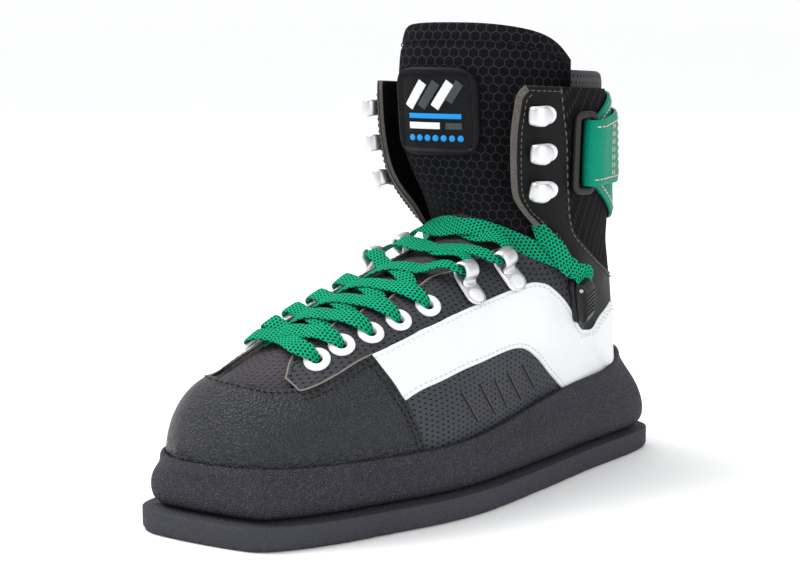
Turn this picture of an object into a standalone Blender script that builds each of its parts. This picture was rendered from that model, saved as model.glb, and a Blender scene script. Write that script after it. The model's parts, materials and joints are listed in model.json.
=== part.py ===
"""Left shooting shoe: flat outsole, cupped midsole, hollow boot upper and its fastenings.

Sizes are in millimetres. A place on the shoe is given by its station (distance from the
back of the heel towards the toe), its side (positive towards the outside of the foot) and
its height above the floor. The toe points to -Y and the outside of the foot is +X.
"""

import math

import bmesh
import bpy
import numpy as np
from mathutils import Vector
from mathutils.bvhtree import BVHTree

for old in list(bpy.data.objects):
    bpy.data.objects.remove(old, do_unlink=True)

# Driving sizes
MM = 0.001
SHOE_LENGTH = 300.0
PLATE_THICK = 11.3
GAP = 0.3
WALL = 2.4
LINING_THICK = 4.0
TONGUE_THICK = 6.0
INSOLE_THICK = 4.0
FLOOR_HEEL = 30.0
FLOOR_TOE = 22.0
FLOOR_RAMP = (62.0, 180.0)

# Sole outline, a row for each place round it from the back of the heel by the outside
# columns: plate station, plate side, upper station, upper side
OUTLINE = (
    (0.0, 0.0, 13.5, 0.0),
    (0.0, 18.0, 15.5, 11.0),
    (2.5, 30.5, 21.0, 20.5),
    (12.0, 37.5, 33.0, 28.5),
    (34.0, 42.0, 50.0, 32.5),
    (60.0, 45.0, 70.0, 34.5),
    (90.0, 50.0, 96.0, 38.0),
    (122.0, 55.3, 124.0, 43.0),
    (150.0, 59.5, 150.0, 48.0),
    (168.0, 60.5, 168.0, 50.5),
    (190.0, 59.0, 190.0, 50.0),
    (212.0, 54.5, 211.0, 46.5),
    (235.0, 50.0, 232.0, 41.5),
    (255.0, 44.5, 251.0, 35.5),
    (271.0, 38.0, 265.0, 29.0),
    (281.0, 30.5, 275.0, 20.5),
    (287.0, 19.0, 281.5, 11.0),
    (293.0, 3.0, 287.0, -2.0),
    (298.0, -14.0, 289.5, -14.0),
    (300.0, -26.0, 288.5, -23.0),
    (297.0, -35.5, 284.0, -31.0),
    (286.0, -41.0, 274.0, -37.5),
    (268.0, -45.0, 259.0, -41.5),
    (245.0, -48.5, 240.0, -44.0),
    (220.0, -50.0, 218.0, -45.0),
    (195.0, -48.0, 195.0, -43.0),
    (170.0, -43.0, 170.0, -38.5),
    (145.0, -38.0, 146.0, -34.0),
    (118.0, -35.5, 120.0, -31.5),
    (90.0, -36.0, 94.0, -31.0),
    (60.0, -37.5, 67.0, -31.5),
    (34.0, -38.0, 46.0, -30.0),
    (12.0, -36.5, 29.0, -25.5),
    (2.5, -30.5, 19.5, -18.5),
    (0.0, -18.0, 15.0, -10.0),
)
TIP_ROW = 18

# Upper sections from the toe to the collar, a row for each section plane
# columns: top station, top height, top side, bottom station, bottom height (None: sole),
# outside half width at belly (None: sole outline), middle and shoulder, then the inside's
SECTIONS = (
    (288.6, 42.0, -16.0, 288.6, None, None, -11.5, -13.0, None, -20.5, -19.0),
    (286.0, 52.5, -15.0, 286.0, None, None, 1.0, -4.0, None, -28.0, -24.0),
    (281.0, 62.5, -13.0, 281.0, None, None, 11.0, 3.0, None, -33.5, -27.5),
    (272.0, 71.0, -9.0, 272.0, None, None, 23.0, 13.0, None, -38.0, -30.0),
    (260.0, 75.5, -6.0, 260.0, None, None, 31.5, 21.0, None, -41.0, -31.5),
    (246.0, 82.0, -3.5, 246.0, None, None, 37.5, 27.0, None, -43.0, -33.0),
    (228.0, 92.5, -1.0, 228.0, None, None, 43.0, 33.0, None, -44.0, -34.0),
    (205.0, 101.5, 0.0, 205.0, None, None, 48.0, 37.0, None, -44.0, -34.5),
    (181.0, 109.5, 1.0, 180.0, None, None, 50.0, 39.0, None, -42.0, -35.5),
    (158.0, 116.5, 1.5, 146.0, None, None, 47.5, 40.0, None, -38.5, -36.5),
    (138.0, 122.0, 2.0, 105.0, None, None, 44.0, 41.0, None, -36.5, -37.5),
    (127.0, 126.5, 2.0, 62.0, None, None, 40.5, 42.0, None, -36.0, -38.5),
    (123.5, 129.5, 2.0, 38.0, None, None, 38.0, 42.5, None, -35.0, -39.0),
    (122.0, 132.0, 2.0, 22.5, None, None, 37.0, 43.0, None, -34.5, -39.5),
    (121.5, 134.0, 2.0, 13.5, None, None, 36.5, 43.5, None, -34.5, -40.0),
    (122.5, 137.0, 2.0, 10.5, 46.0, 22.5, 37.0, 44.0, -21.0, -35.0, -41.0),
    (125.0, 140.5, 2.0, 11.5, 62.0, 22.5, 38.5, 45.0, -21.5, -36.5, -42.5),
    (129.0, 145.0, 2.0, 16.0, 82.0, 24.0, 41.0, 46.5, -23.0, -39.0, -44.5),
    (136.0, 151.0, 2.0, 21.5, 105.0, 26.5, 44.0, 48.0, -25.5, -42.5, -46.5),
    (143.0, 160.0, 2.0, 26.0, 132.0, 29.0, 47.0, 49.0, -28.0, -45.5, -48.0),
    (148.0, 177.0, 2.0, 30.5, 165.0, 31.0, 49.0, 50.0, -30.0, -47.5, -49.0),
    (149.0, 207.0, 2.0, 34.5, 201.0, 32.0, 50.0, 51.0, -31.0, -48.5, -50.0),
    (148.5, 224.0, 2.0, 36.5, 220.0, 32.0, 50.0, 51.0, -31.0, -48.5, -50.0),
)
HEIGHTS = (0.0, 0.13, 0.42, 0.80, 1.0)
HEEL_ROW = 14
COLLAR_ROW = 21
CUFF_TURN = 0.10
CUFF_TURN_ROWS = (12.0, 19.0)

HEEL_Y = SHOE_LENGTH / 2
# middle of the finished shoe's box, taken off every point so the origin lies under it
CENTRE = np.array((0.677, 0.043, 0.0))


def place(station, side, height):
    """Turn station, side and height into the shoe's own x, y and z."""
    return np.array((side, HEEL_Y - station, height))


def ramp(value, low, high):
    """Rise smoothly from 0 at low to 1 at high."""
    t = np.clip((np.asarray(value, float) - low) / (high - low), 0.0, 1.0)
    return t * t * (3 - 2 * t)


def floor_height(station):
    """Height of the cup's floor, a straight slope down from the heel to the ball."""
    return np.interp(station, FLOOR_RAMP, (FLOOR_HEEL, FLOOR_TOE))


def spline(knots, points, first=None, last=None):
    """Return a smooth curve through points; first and last fix the slopes at its ends."""
    t = np.asarray(knots, float)
    p = np.asarray(points, float).reshape(len(t), -1)
    step = np.diff(t)
    rise = np.diff(p, axis=0) / step[:, None]
    count = len(t)
    left = np.zeros((count, count))
    right = np.zeros_like(p)
    for i in range(1, count - 1):
        before, after = 1 / step[i - 1], 1 / step[i]
        left[i, i - 1:i + 2] = before, 2 * (before + after), after
        right[i] = 3 * (rise[i - 1] * before + rise[i] * after)
    left[0, :2] = (2, 1) if first is None else (1, 0)
    right[0] = 3 * rise[0] if first is None else first
    left[-1, -2:] = (1, 2) if last is None else (0, 1)
    right[-1] = 3 * rise[-1] if last is None else last
    slope = np.linalg.solve(left, right)

    def at(values):
        q = np.atleast_1d(np.asarray(values, float))
        i = np.clip(np.searchsorted(t, q, side="right") - 1, 0, count - 2)
        h = step[i][:, None]
        f = ((q - t[i]) / step[i])[:, None]
        return ((1 + 2 * f) * (1 - f) ** 2 * p[i] + f * (1 - f) ** 2 * h * slope[i]
                + f * f * (3 - 2 * f) * p[i + 1] + f * f * (f - 1) * h * slope[i + 1])

    return at


def chord_knots(points):
    """Running distance along points."""
    gaps = np.linalg.norm(np.diff(np.asarray(points, float), axis=0), axis=1)
    return np.concatenate(((0.0,), np.cumsum(gaps)))


def ring_by_rows(column, per_row):
    """Sample a closed outline with the same steps between the table's rows."""
    rows = np.array(OUTLINE)[:, column:column + 2]
    lap = 4
    padded = np.vstack((rows[-lap:], rows, rows[:lap + 1]))
    curve = spline(np.arange(-lap, len(rows) + lap + 1), padded)
    return curve(np.arange(0, len(rows), 1 / per_row))


def offset_ring(ring, distance):
    """Move a closed outline outwards by distance, in the plane of the floor."""
    along = np.roll(ring, -1, axis=0) - np.roll(ring, 1, axis=0)
    along /= np.linalg.norm(along, axis=1)[:, None]
    outward = np.stack((-along[:, 1], along[:, 0]), axis=1)
    return ring + outward * np.asarray(distance).reshape(-1, 1)


LAST_RING = ring_by_rows(2, 8)
TIP = TIP_ROW * 8
OUTSIDE = LAST_RING[:TIP + 1]
INSIDE = np.vstack((LAST_RING[TIP:], LAST_RING[:1]))[::-1]


def outline_side(station, outside):
    """Side of the upper's sole outline at a station."""
    branch = OUTSIDE if outside else INSIDE
    return float(np.interp(station, branch[:, 0], branch[:, 1]))


def section_points(number):
    """Corner points of one section, from the outside edge over the top to the inside edge."""
    (top_s, top_z, top_x, low_s, low_z,
     out_belly, out_mid, out_high, in_belly, in_mid, in_high) = SECTIONS[number]
    on_sole = low_z is None
    if on_sole:
        low_z = float(floor_height(low_s)) + GAP
    stations = low_s + np.array(HEIGHTS) * (top_s - low_s)
    heights = low_z + np.array(HEIGHTS) * (top_z - low_z)
    sides = []
    for outside, belly, mid, high in ((True, out_belly, out_mid, out_high),
                                      (False, in_belly, in_mid, in_high)):
        low = outline_side(low_s, outside) if on_sole else 0.0
        if belly is None:
            belly = outline_side(stations[1], outside)
        sides.append((low, belly, mid, high, top_x))
    turn = CUFF_TURN * ramp(number, *CUFF_TURN_ROWS)
    points = []
    for k in (0, 1, 2, 3, 4):
        points.append((stations[k], sides[0][k], heights[k]))
    for k in (3, 2, 1, 0):
        points.append((stations[k], sides[1][k], heights[k]))
    points = np.array(points)
    points[:, 0] -= turn * points[:, 1]
    return points


WRAP_FROM, WRAP_TO = 60.0, 13.5


def section_curve(number):
    """Smooth curve through one section, with a parameter of 0 to 8 over its nine points."""
    points = section_points(number)
    knots = chord_knots(points)
    low_s, low_z = SECTIONS[number][3:5]
    wrap = 1.0 if low_z is not None else float(ramp(-low_s, -WRAP_FROM, -WRAP_TO))
    up_out = points[1] - points[0]
    up_in = points[-2] - points[-1]
    up_out /= np.linalg.norm(up_out)
    up_in /= np.linalg.norm(up_in)
    across = np.array((0.0, 1.0, 0.0))
    first = (1 - wrap) * up_out + wrap * across
    last = -(1 - wrap) * up_in + wrap * across
    curve = spline(knots, points, first / np.linalg.norm(first), last / np.linalg.norm(last))
    return lambda u: curve(np.interp(u, np.arange(9), knots))


CURVES = [section_curve(number) for number in range(len(SECTIONS))]
ROW_GAPS = np.diff(np.array([curve(np.linspace(0, 8, 33)) for curve in CURVES]), axis=0)
ROW_KNOTS = np.concatenate(((0.0,), np.cumsum(np.linalg.norm(ROW_GAPS, axis=2).mean(axis=1))))


def upper_surface(u, v):
    """Outer face of the upper on a grid: u round each section, v along the sections."""
    rows = np.array([curve(u) for curve in CURVES])
    stacked = spline(ROW_KNOTS, rows.reshape(len(rows), -1))
    grid = stacked(np.interp(v, np.arange(len(SECTIONS)), ROW_KNOTS))
    grid = grid.reshape(len(v), len(u), 3)
    closed = (np.asarray(v) >= HEEL_ROW) & (u[0] == 0.0) & (u[-1] == 8.0)
    middle = (grid[closed, 0] + grid[closed, -1]) / 2
    grid[closed, 0] = middle
    grid[closed, -1] = middle
    return np.stack((grid[..., 1], HEEL_Y - grid[..., 0], grid[..., 2]), axis=-1)


def grid_normals(grid, v):
    """Outward normals of the upper's grid."""
    du = np.gradient(grid, axis=1)
    closed = np.asarray(v) >= HEEL_ROW
    wrap = grid[closed, 1] - grid[closed, -2]
    du[closed, 0] = wrap
    du[closed, -1] = wrap
    dv = np.gradient(grid, axis=0)
    normal = np.cross(dv, du)
    normal[closed, 0] += normal[closed, -1]
    normal[closed, -1] = normal[closed, 0]
    length = np.linalg.norm(normal, axis=2, keepdims=True)
    return normal / np.maximum(length, 1e-9)


# Mesh helpers
def solid(name, points, faces):
    """Make a closed object from points in millimetres, with its faces turned outwards."""
    mesh = bpy.data.meshes.new(name)
    mesh.from_pydata([tuple(float(c) * MM for c in p - CENTRE) for p in np.array(points)], [], faces)
    shape = bmesh.new()
    shape.from_mesh(mesh)
    bmesh.ops.recalc_face_normals(shape, faces=shape.faces)
    shape.to_mesh(mesh)
    shape.free()
    thing = bpy.data.objects.new(name, mesh)
    bpy.context.scene.collection.objects.link(thing)
    return thing


def loft(name, rings):
    """Join closed rings of equal length in order and cap both ends."""
    count = len(rings[0])
    faces = [list(range(count)), [(len(rings) - 1) * count + i for i in range(count)]]
    for k in range(len(rings) - 1):
        for i in range(count):
            j = (i + 1) % count
            faces.append((k * count + i, k * count + j, (k + 1) * count + j, (k + 1) * count + i))
    return solid(name, np.vstack(rings), faces)


def sheet(name, outer, inner):
    """Make a thick sheet from two grids of points that face each other."""
    rows, columns = outer.shape[:2]
    total = rows * columns
    faces = []
    for i in range(rows - 1):
        for j in range(columns - 1):
            a, b = i * columns + j, i * columns + j + 1
            c, d = a + columns, b + columns
            faces += [(a, b, d), (a, d, c)]
            faces += [(total + a, total + d, total + b), (total + a, total + c, total + d)]
    rim = [j for j in range(columns)]
    rim += [i * columns + columns - 1 for i in range(1, rows)]
    rim += [(rows - 1) * columns + j for j in range(columns - 2, -1, -1)]
    rim += [i * columns for i in range(rows - 2, 0, -1)]
    for k, a in enumerate(rim):
        b = rim[(k + 1) % len(rim)]
        faces.append((a, total + a, total + b, b))
    return solid(name, np.vstack((outer.reshape(-1, 3), inner.reshape(-1, 3))), faces)


def prism(name, outline, origin, right, up, along, start, stop):
    """Extrude a flat outline, given in right and up, from start to stop along a direction."""
    right, up, along = (np.asarray(d, float) for d in (right, up, along))
    ends = []
    for depth in (start, stop):
        ends.append(np.array([origin + a * right + b * up + depth * along for a, b in outline]))
    return loft(name, ends)


def combine(target, other, operation):
    """Apply a Boolean step to target with other as the cutter, then remove the cutter."""
    step = target.modifiers.new(operation, "BOOLEAN")
    step.operation = operation
    step.solver = "EXACT"
    step.object = other
    graph = bpy.context.evaluated_depsgraph_get()
    mesh = bpy.data.meshes.new_from_object(target.evaluated_get(graph))
    target.modifiers.clear()
    target.data = mesh
    bpy.data.objects.remove(other, do_unlink=True)
    return target


# Outsole: a flat plate with both edges eased
PLATE_EASE = 1.2
plate = ring_by_rows(0, 2)
loft("outsole", [
    np.array([place(s, x, height) for s, x in offset_ring(plate, out)])
    for out, height in ((-PLATE_EASE, 0.0), (0.0, PLATE_EASE),
                        (0.0, PLATE_THICK - PLATE_EASE), (-PLATE_EASE, PLATE_THICK))
])

# Midsole block, rounded under, with its top line rising to the heel
# columns: station, height of the top line
TOP_LINE = ((0.0, 57.0), (20.0, 56.0), (34.0, 51.5), (60.0, 48.0), (80.0, 46.2), (105.0, 43.0),
            (130.0, 39.7), (160.0, 36.8), (200.0, 35.7), (250.0, 36.2), (292.0, 36.8))
MIDSOLE_LOW = PLATE_THICK + GAP
UNDERCUT = 6.0
INSET_HEEL, INSET_TOE = 2.5, 4.5
INSET_RAMP = (40.0, 240.0)
LIP = 3.4


def midsole_rings():
    """Rings of the midsole from its underside to the middle of its top."""
    last = ring_by_rows(2, 2)
    top = np.interp(last[:, 0], *np.array(TOP_LINE).T)
    inset = INSET_HEEL + (INSET_TOE - INSET_HEEL) * ramp(plate[:, 0], *INSET_RAMP)
    belly = offset_ring(plate, -inset)
    lip = offset_ring(last, LIP)
    levels = (
        (offset_ring(plate, -inset - UNDERCUT), np.full(len(plate), MIDSOLE_LOW)),
        (offset_ring(plate, -inset - 0.3 * UNDERCUT), np.full(len(plate), MIDSOLE_LOW + 3.0)),
        (belly, np.full(len(plate), MIDSOLE_LOW + 8.0)),
        (0.5 * belly + 0.5 * lip + 0.10 * (belly - lip), 0.45 * (MIDSOLE_LOW + 8.0) + 0.55 * top),
        (offset_ring(last, LIP + 0.7), top - 2.5),
        (offset_ring(last, LIP - 0.8), top),
        (offset_ring(last, -4.0), top - 0.5),
    )
    return [np.array([place(s, x, z) for (s, x), z in zip(ring, height)])
            for ring, height in levels]


# Upper: a hollow shell between the section surface and the same surface moved inwards
U_STEPS = (4, 3, 3, 4)
U_HALF = np.concatenate([k + np.arange(n) / n for k, n in enumerate(U_STEPS)])
U = np.concatenate((U_HALF, (4.0,), 8.0 - U_HALF[::-1]))
V_STEPS = (1, 1, 1, 1, 2, 1, 1, 1, 1, 1, 1, 1, 1, 1, 1, 1, 1, 2, 2, 2, 2)
V = np.concatenate([k + np.arange(n) / n for k, n in enumerate(V_STEPS)] + [[COLLAR_ROW]])
SURFACE = upper_surface(U, V)
NORMALS = grid_normals(SURFACE, V)
CUP_TOP_ROW = 17


def shell_index(rows, columns, closed_from, start):
    """Vertex numbers of one skin; closed rows share their first and last points."""
    index = np.zeros((rows, columns), int)
    count = start
    for i in range(rows):
        for j in range(columns):
            if i >= closed_from and j == columns - 1:
                index[i, j] = index[i, 0]
            else:
                index[i, j] = count
                count += 1
    return index, count


def skin_faces(index):
    """Triangles of one skin, with every cell split the same way."""
    rows, columns = index.shape
    faces = []
    for i in range(rows - 1):
        for j in range(columns - 1):
            a, b, c, d = index[i, j], index[i, j + 1], index[i + 1, j], index[i + 1, j + 1]
            faces += [(a, b, d), (a, d, c)]
    return faces


def boot_shell(name, grid, inner, closed_from):
    """Hollow boot from two skins, open underneath and at the collar."""
    rows, columns = grid.shape[:2]
    a, count = shell_index(rows, columns, closed_from, 0)
    b, count = shell_index(rows, columns, closed_from, count)
    points = np.zeros((count, 3))
    points[a] = grid
    points[b] = inner
    faces = skin_faces(a) + [face[::-1] for face in skin_faces(b)]
    for i in range(closed_from):
        for j in (0, columns - 1):
            faces.append((a[i, j], a[i + 1, j], b[i + 1, j], b[i, j]))
    for j in range(columns - 1):
        faces.append((a[-1, j], a[-1, j + 1], b[-1, j + 1], b[-1, j]))
    faces.append([int(k) for k in a[0]])
    faces.append([int(k) for k in b[0]])
    faces.append((a[0, 0], a[0, -1], b[0, -1], b[0, 0]))
    return solid(name, points, faces)


def boot_form(name, grid, closed_from):
    """Filled boot form, flat underneath and capped at its last row."""
    rows, columns = grid.shape[:2]
    a, count = shell_index(rows, columns, closed_from, 0)
    points = np.zeros((count, 3))
    points[a] = grid
    faces = skin_faces(a)
    for i in range(closed_from):
        bottom = [a[i, 0], a[i + 1, 0], a[i + 1, -1], a[i, -1]]
        faces.append(list(dict.fromkeys(int(k) for k in bottom)))
    faces.append([int(k) for k in a[0]])
    faces.append([int(k) for k in a[-1, :-1]])
    return solid(name, points, faces)


closed_row = int(np.argmax(V >= HEEL_ROW))
lining = SURFACE - WALL * NORMALS
for edge in (0, -1):
    lining[:closed_row + 1, edge, 2] = SURFACE[:closed_row + 1, edge, 2]
upper = boot_shell("upper", SURFACE, lining, closed_row)

# Throat, front of the cuff with the side notches, and the slit behind the heel
# columns: station, half width of the throat
THROAT = ((250.0, 5.0), (247.5, 10.0), (241.0, 13.5), (222.0, 16.5), (200.0, 19.5),
          (150.0, 23.0), (118.0, 25.0), (100.0, 26.0))
# columns: station, height, first along the end of the vamp, then up the cuff's front edge
NOTCH = ((210.0, 126.0), (128.0, 126.0), (112.0, 123.5), (100.0, 119.5), (92.0, 112.5),
         (88.5, 108.5), (87.5, 109.5), (89.5, 114.0), (96.0, 120.5), (107.0, 130.0), (122.0, 139.5),
         (131.0, 150.0), (134.0, 170.0), (132.5, 192.0), (128.0, 201.5), (121.0, 206.0),
         (112.0, 210.0), (112.0, 245.0), (210.0, 245.0))
# columns: side, height
HEEL_SLIT = ((-5.0, 101.0), (5.0, 101.0), (9.5, 106.0), (12.5, 118.0), (15.0, 150.0), (21.0, 190.0),
             (24.0, 245.0), (-24.0, 245.0), (-21.0, 190.0), (-15.0, 150.0), (-12.5, 118.0), (-9.5, 106.0))
X_AXIS, Y_AXIS, Z_AXIS = np.eye(3)


def throat_middle(station):
    """Side of the throat's middle line at a station."""
    rows = np.array([row[:3] for row in SECTIONS[:12]])
    return float(np.interp(station, rows[::-1, 0], rows[::-1, 2]))


throat_outline = [(throat_middle(s) + half, HEEL_Y - s) for s, half in THROAT]
throat_outline += [(throat_middle(s) - half, HEEL_Y - s) for s, half in THROAT[::-1]]
notch_outline = [(HEEL_Y - s, z) for s, z in NOTCH]
ZERO = np.zeros(3)
combine(upper, prism("throat", throat_outline, ZERO, X_AXIS, Y_AXIS, Z_AXIS, 58.0, 250.0),
        "DIFFERENCE")
combine(upper, prism("notch", notch_outline, ZERO, Y_AXIS, Z_AXIS, X_AXIS, -90.0, 90.0),
        "DIFFERENCE")
combine(upper, prism("slit", HEEL_SLIT, ZERO, X_AXIS, Z_AXIS, Y_AXIS, HEEL_Y - 62.0, HEEL_Y),
        "DIFFERENCE")

# The midsole's cup is cut by the upper's own form, a gap larger
midsole = loft("midsole", midsole_rings())
cup_rows = V <= CUP_TOP_ROW
cup_grid = (SURFACE + GAP * NORMALS)[cup_rows]
for edge in (0, -1):
    cup_grid[:closed_row + 1, edge, 2] = SURFACE[:closed_row + 1, edge, 2] - GAP
combine(midsole, boot_form("cup", cup_grid, closed_row), "DIFFERENCE")

# Insole: a loose footbed inside the upper, sampled closer towards its round ends
INSOLE_IN = WALL + 2.2
BED_ROWS, BED_COLUMNS = 23, 5


def bed_grid(lift, inset):
    """Points over the footbed at a height above the cup's floor."""
    ring = offset_ring(LAST_RING, -inset)
    branches = (ring[:TIP + 1], np.vstack((ring[TIP:], ring[:1]))[::-1])
    low, high = ring[:, 0].min(), ring[:, 0].max()
    turn = np.linspace(-1.0, 1.0, BED_ROWS) * math.radians(79.0)
    rows = []
    for station in (low + high) / 2 + (high - low) / 2 * np.sin(turn):
        ends = [np.interp(station, branch[:, 0], branch[:, 1]) for branch in branches]
        rows.append([place(station, side, floor_height(station) + lift)
                     for side in np.linspace(*ends, BED_COLUMNS)])
    return np.array(rows)


sheet("insole", bed_grid(GAP + INSOLE_THICK, INSOLE_IN + 0.8), bed_grid(GAP + 0.2, INSOLE_IN))

# Tongue: under the facings it follows the upper, above them it wraps the shin
TONGUE_U = U[(U > 2.6) & (U < 5.4)]
TONGUE_V = V[(V >= 4.5) & (V <= 15.0)]
TONGUE_UNDER = WALL + GAP + 0.2
# columns: front station, front height, half width, depth of the wrap, drop of the edges, turn outwards
TONGUE_SHAFT = (
    (123.5, 150.0, 37.5, 43.0, 4.0, 0.20),
    (126.5, 161.0, 38.8, 45.0, 3.0, 0.30),
    (129.5, 178.0, 39.5, 46.0, 4.0, 0.38),
    (130.5, 204.0, 39.5, 46.0, 9.0, 0.40),
    (130.0, 224.0, 39.0, 46.0, 11.0, 0.40),
    (128.5, 236.0, 38.5, 45.0, 12.0, 0.40),
)
TONGUE_MIDDLE, TONGUE_SQUARE = -1.5, 0.72
TONGUE_EDGE = 0.55
# top corners are rounded off from this height up, by this much at the very corner
TONGUE_CORNER_FROM, TONGUE_CORNER = 204.0, 9.0


def tongue_grids():
    """Outer and inner skins of the tongue."""
    low = upper_surface(TONGUE_U, TONGUE_V)
    low = low - TONGUE_UNDER * grid_normals(low, np.zeros(len(TONGUE_V)))
    angle = np.linspace(1.0, -1.0, len(TONGUE_U)) * math.radians(86.0)
    high = []
    for front, height, half, depth, drop, turn in TONGUE_SHAFT:
        fall = 1 - np.cos(angle) ** TONGUE_SQUARE
        side = half * np.sign(angle) * np.abs(np.sin(angle)) ** TONGUE_SQUARE + TONGUE_MIDDLE
        station = front - depth * fall - turn * side
        corner = TONGUE_CORNER * max(height - TONGUE_CORNER_FROM, 0.0) / 32.0
        corner = corner * np.linspace(-1.0, 1.0, len(TONGUE_U)) ** 8
        high.append(np.stack((side, HEEL_Y - station, height - drop * fall - corner), axis=1))
    outer = np.concatenate((low, np.array(high)))
    normal = grid_normals(outer, np.zeros(len(outer)))
    across = np.linspace(-1.0, 1.0, len(TONGUE_U))
    thick = TONGUE_THICK * (1 - TONGUE_EDGE * across ** 4)
    thick = np.tile(thick, (len(outer), 1))
    thick[0] *= 0.5
    thick[-1] *= 0.6
    return outer, outer - thick[..., None] * normal


sheet("tongue", *tongue_grids())

# Inner collar: the padded lining behind the cuff, standing a little above it
COLLAR_END = 2.34
COLLAR_HALF = U_HALF[U_HALF < COLLAR_END]
COLLAR_U = np.concatenate((COLLAR_HALF[::-1], 8.0 - COLLAR_HALF[1:]))
COLLAR_V = np.array((18.0, 18.5, 19.0, 19.5, 20.0, 20.5, 21.0, 21.45))


def collar_grids():
    """Outer and inner skins of the inner collar."""
    skin = upper_surface(COLLAR_U, COLLAR_V)
    normal = -grid_normals(skin, np.zeros(len(COLLAR_V)))
    thick = np.full(skin.shape[:2], LINING_THICK)
    thick[0] *= 0.4
    thick[-1] *= 0.5
    thick[:, 0] *= 0.5
    thick[:, -1] *= 0.5
    outer = skin - (WALL + GAP) * normal
    return outer, outer - thick[..., None] * normal


sheet("inner_collar", *collar_grids())

# Places on the outer face, found on a fine grid of it
FINE_U = np.linspace(0.0, 8.0, 321)
FINE_V = np.linspace(0.0, COLLAR_ROW, 421)
FINE = upper_surface(FINE_U, FINE_V)
FINE_NORMALS = grid_normals(FINE, FINE_V)
SKIN_INDEX = np.arange(SURFACE.shape[0] * SURFACE.shape[1]).reshape(SURFACE.shape[:2])
SKIN_TREE = BVHTree.FromPolygons([Vector(p) for p in SURFACE.reshape(-1, 3)],
                                 [[int(k) for k in face] for face in skin_faces(SKIN_INDEX)])
TOEWARD = np.array((0.0, -1.0, 0.0))
VAMP_LAST = 12.0
SEAT_GAP = 0.35


def spot(station, outside, side=None, height=None):
    """Row and column of the fine grid at a station and a side or a height."""
    miss = np.abs(FINE[..., 1] - (HEEL_Y - station))
    if side is None:
        miss = miss + np.abs(FINE[..., 2] - height)
    else:
        miss = miss + np.abs(FINE[..., 0] - side)
    if side is not None:
        miss[FINE_V > VAMP_LAST] = np.inf
    miss[:, (FINE_U <= 4.0) != outside] = np.inf
    return np.unravel_index(np.argmin(miss), miss.shape)


def unit(vector):
    """The same direction with a length of one."""
    return np.asarray(vector, float) / np.linalg.norm(vector)


def seat(cell, forward, half_long, half_wide):
    """Origin, along, across and normal of a flat piece resting on the outer face."""
    point, normal = FINE[cell], FINE_NORMALS[cell]
    along = unit(forward - normal * (forward @ normal))
    across = np.cross(normal, along)
    high = 0.0
    for a in np.linspace(-1.0, 1.0, 5):
        for b in np.linspace(-1.0, 1.0, 5):
            start = point + a * half_long * along + b * half_wide * across + 20.0 * normal
            hit = SKIN_TREE.ray_cast(Vector(start), Vector(-normal), 40.0)
            if hit[0] is not None:
                high = max(high, 20.0 - hit[3])
    return point + (high + SEAT_GAP) * normal, along, across, normal


def frame_ring(name, origin, right, up, normal, outlines):
    """Closed ring: outlines are (height, points) pairs joined in order and back to the first."""
    rings = [np.array([origin + a * right + b * up + height * normal for a, b in outline])
             for height, outline in outlines]
    count = len(rings[0])
    faces = []
    for k in range(len(rings)):
        for i in range(count):
            j, n = (i + 1) % count, (k + 1) % len(rings)
            faces.append((k * count + i, k * count + j, n * count + j, n * count + i))
    return solid(name, np.vstack(rings), faces)


def circle(radius, count):
    """Points round a circle."""
    turn = np.arange(count) * 2 * math.pi / count
    return [(radius * math.cos(t), radius * math.sin(t)) for t in turn]


def mirrored(station, side):
    """The side that answers to it across the throat's middle line."""
    return 2 * throat_middle(station) - side


# Eyelets up both facings
# columns: station, side on the outside facing
EYELETS = ((237.0, 22.5), (225.0, 26.0), (210.0, 29.5), (194.0, 31.5), (176.0, 33.0))
# columns: radius, height over the seat
EYELET_PROFILE = ((3.3, 0.0), (6.5, 0.0), (5.8, 1.5), (3.7, 1.4))
EYELET_SIDES = 10
eyelet_cells = {}
for number, (station, side) in enumerate(EYELETS, 1):
    for hand, outside in (("outside", True), ("inside", False)):
        cell = spot(station, outside, side=side if outside else mirrored(station, side))
        eyelet_cells[number, outside] = cell
        origin, along, across, normal = seat(cell, TOEWARD, 6.5, 6.5)
        frame_ring(f"eyelet_{hand}_{number}", origin, along, across, normal,
                   [(height, circle(radius, EYELET_SIDES)) for radius, height in EYELET_PROFILE])

# Closed lace hooks: a strip riveted at one end and rolled into an eye at the other
# columns: station, height
LACE_HOOKS = ((151.0, 104.5), (124.0, 109.0))
HOOK_WIDTH = 8.0
HOOK_TAIL = -7.0
HOOK_THICK = 1.8
EYE_AT = (9.0, 5.4)
EYE_OUTER, EYE_INNER = 5.2, 3.4
RIVET_RADIUS, RIVET_HIGH = 4.4, 1.2


def hook_outline():
    """Side view of a closed hook: plate, then a roll that stops just above the plate."""
    outer = [math.radians(d) for d in (-90, -50, -5, 40, 85, 130, 175, 205)]
    outline = [(HOOK_TAIL, 0.0)]
    outline += [(EYE_AT[0] + EYE_OUTER * math.cos(t), EYE_AT[1] + EYE_OUTER * math.sin(t))
                for t in outer]
    outline += [(EYE_AT[0] + EYE_INNER * math.cos(t), EYE_AT[1] + EYE_INNER * math.sin(t))
                for t in outer[::-1][:-1]]
    outline += [(EYE_AT[0] - 1.5, EYE_AT[1] - EYE_INNER), (HOOK_TAIL, HOOK_THICK)]
    return [(a, max(b, 0.0)) for a, b in outline]


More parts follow.
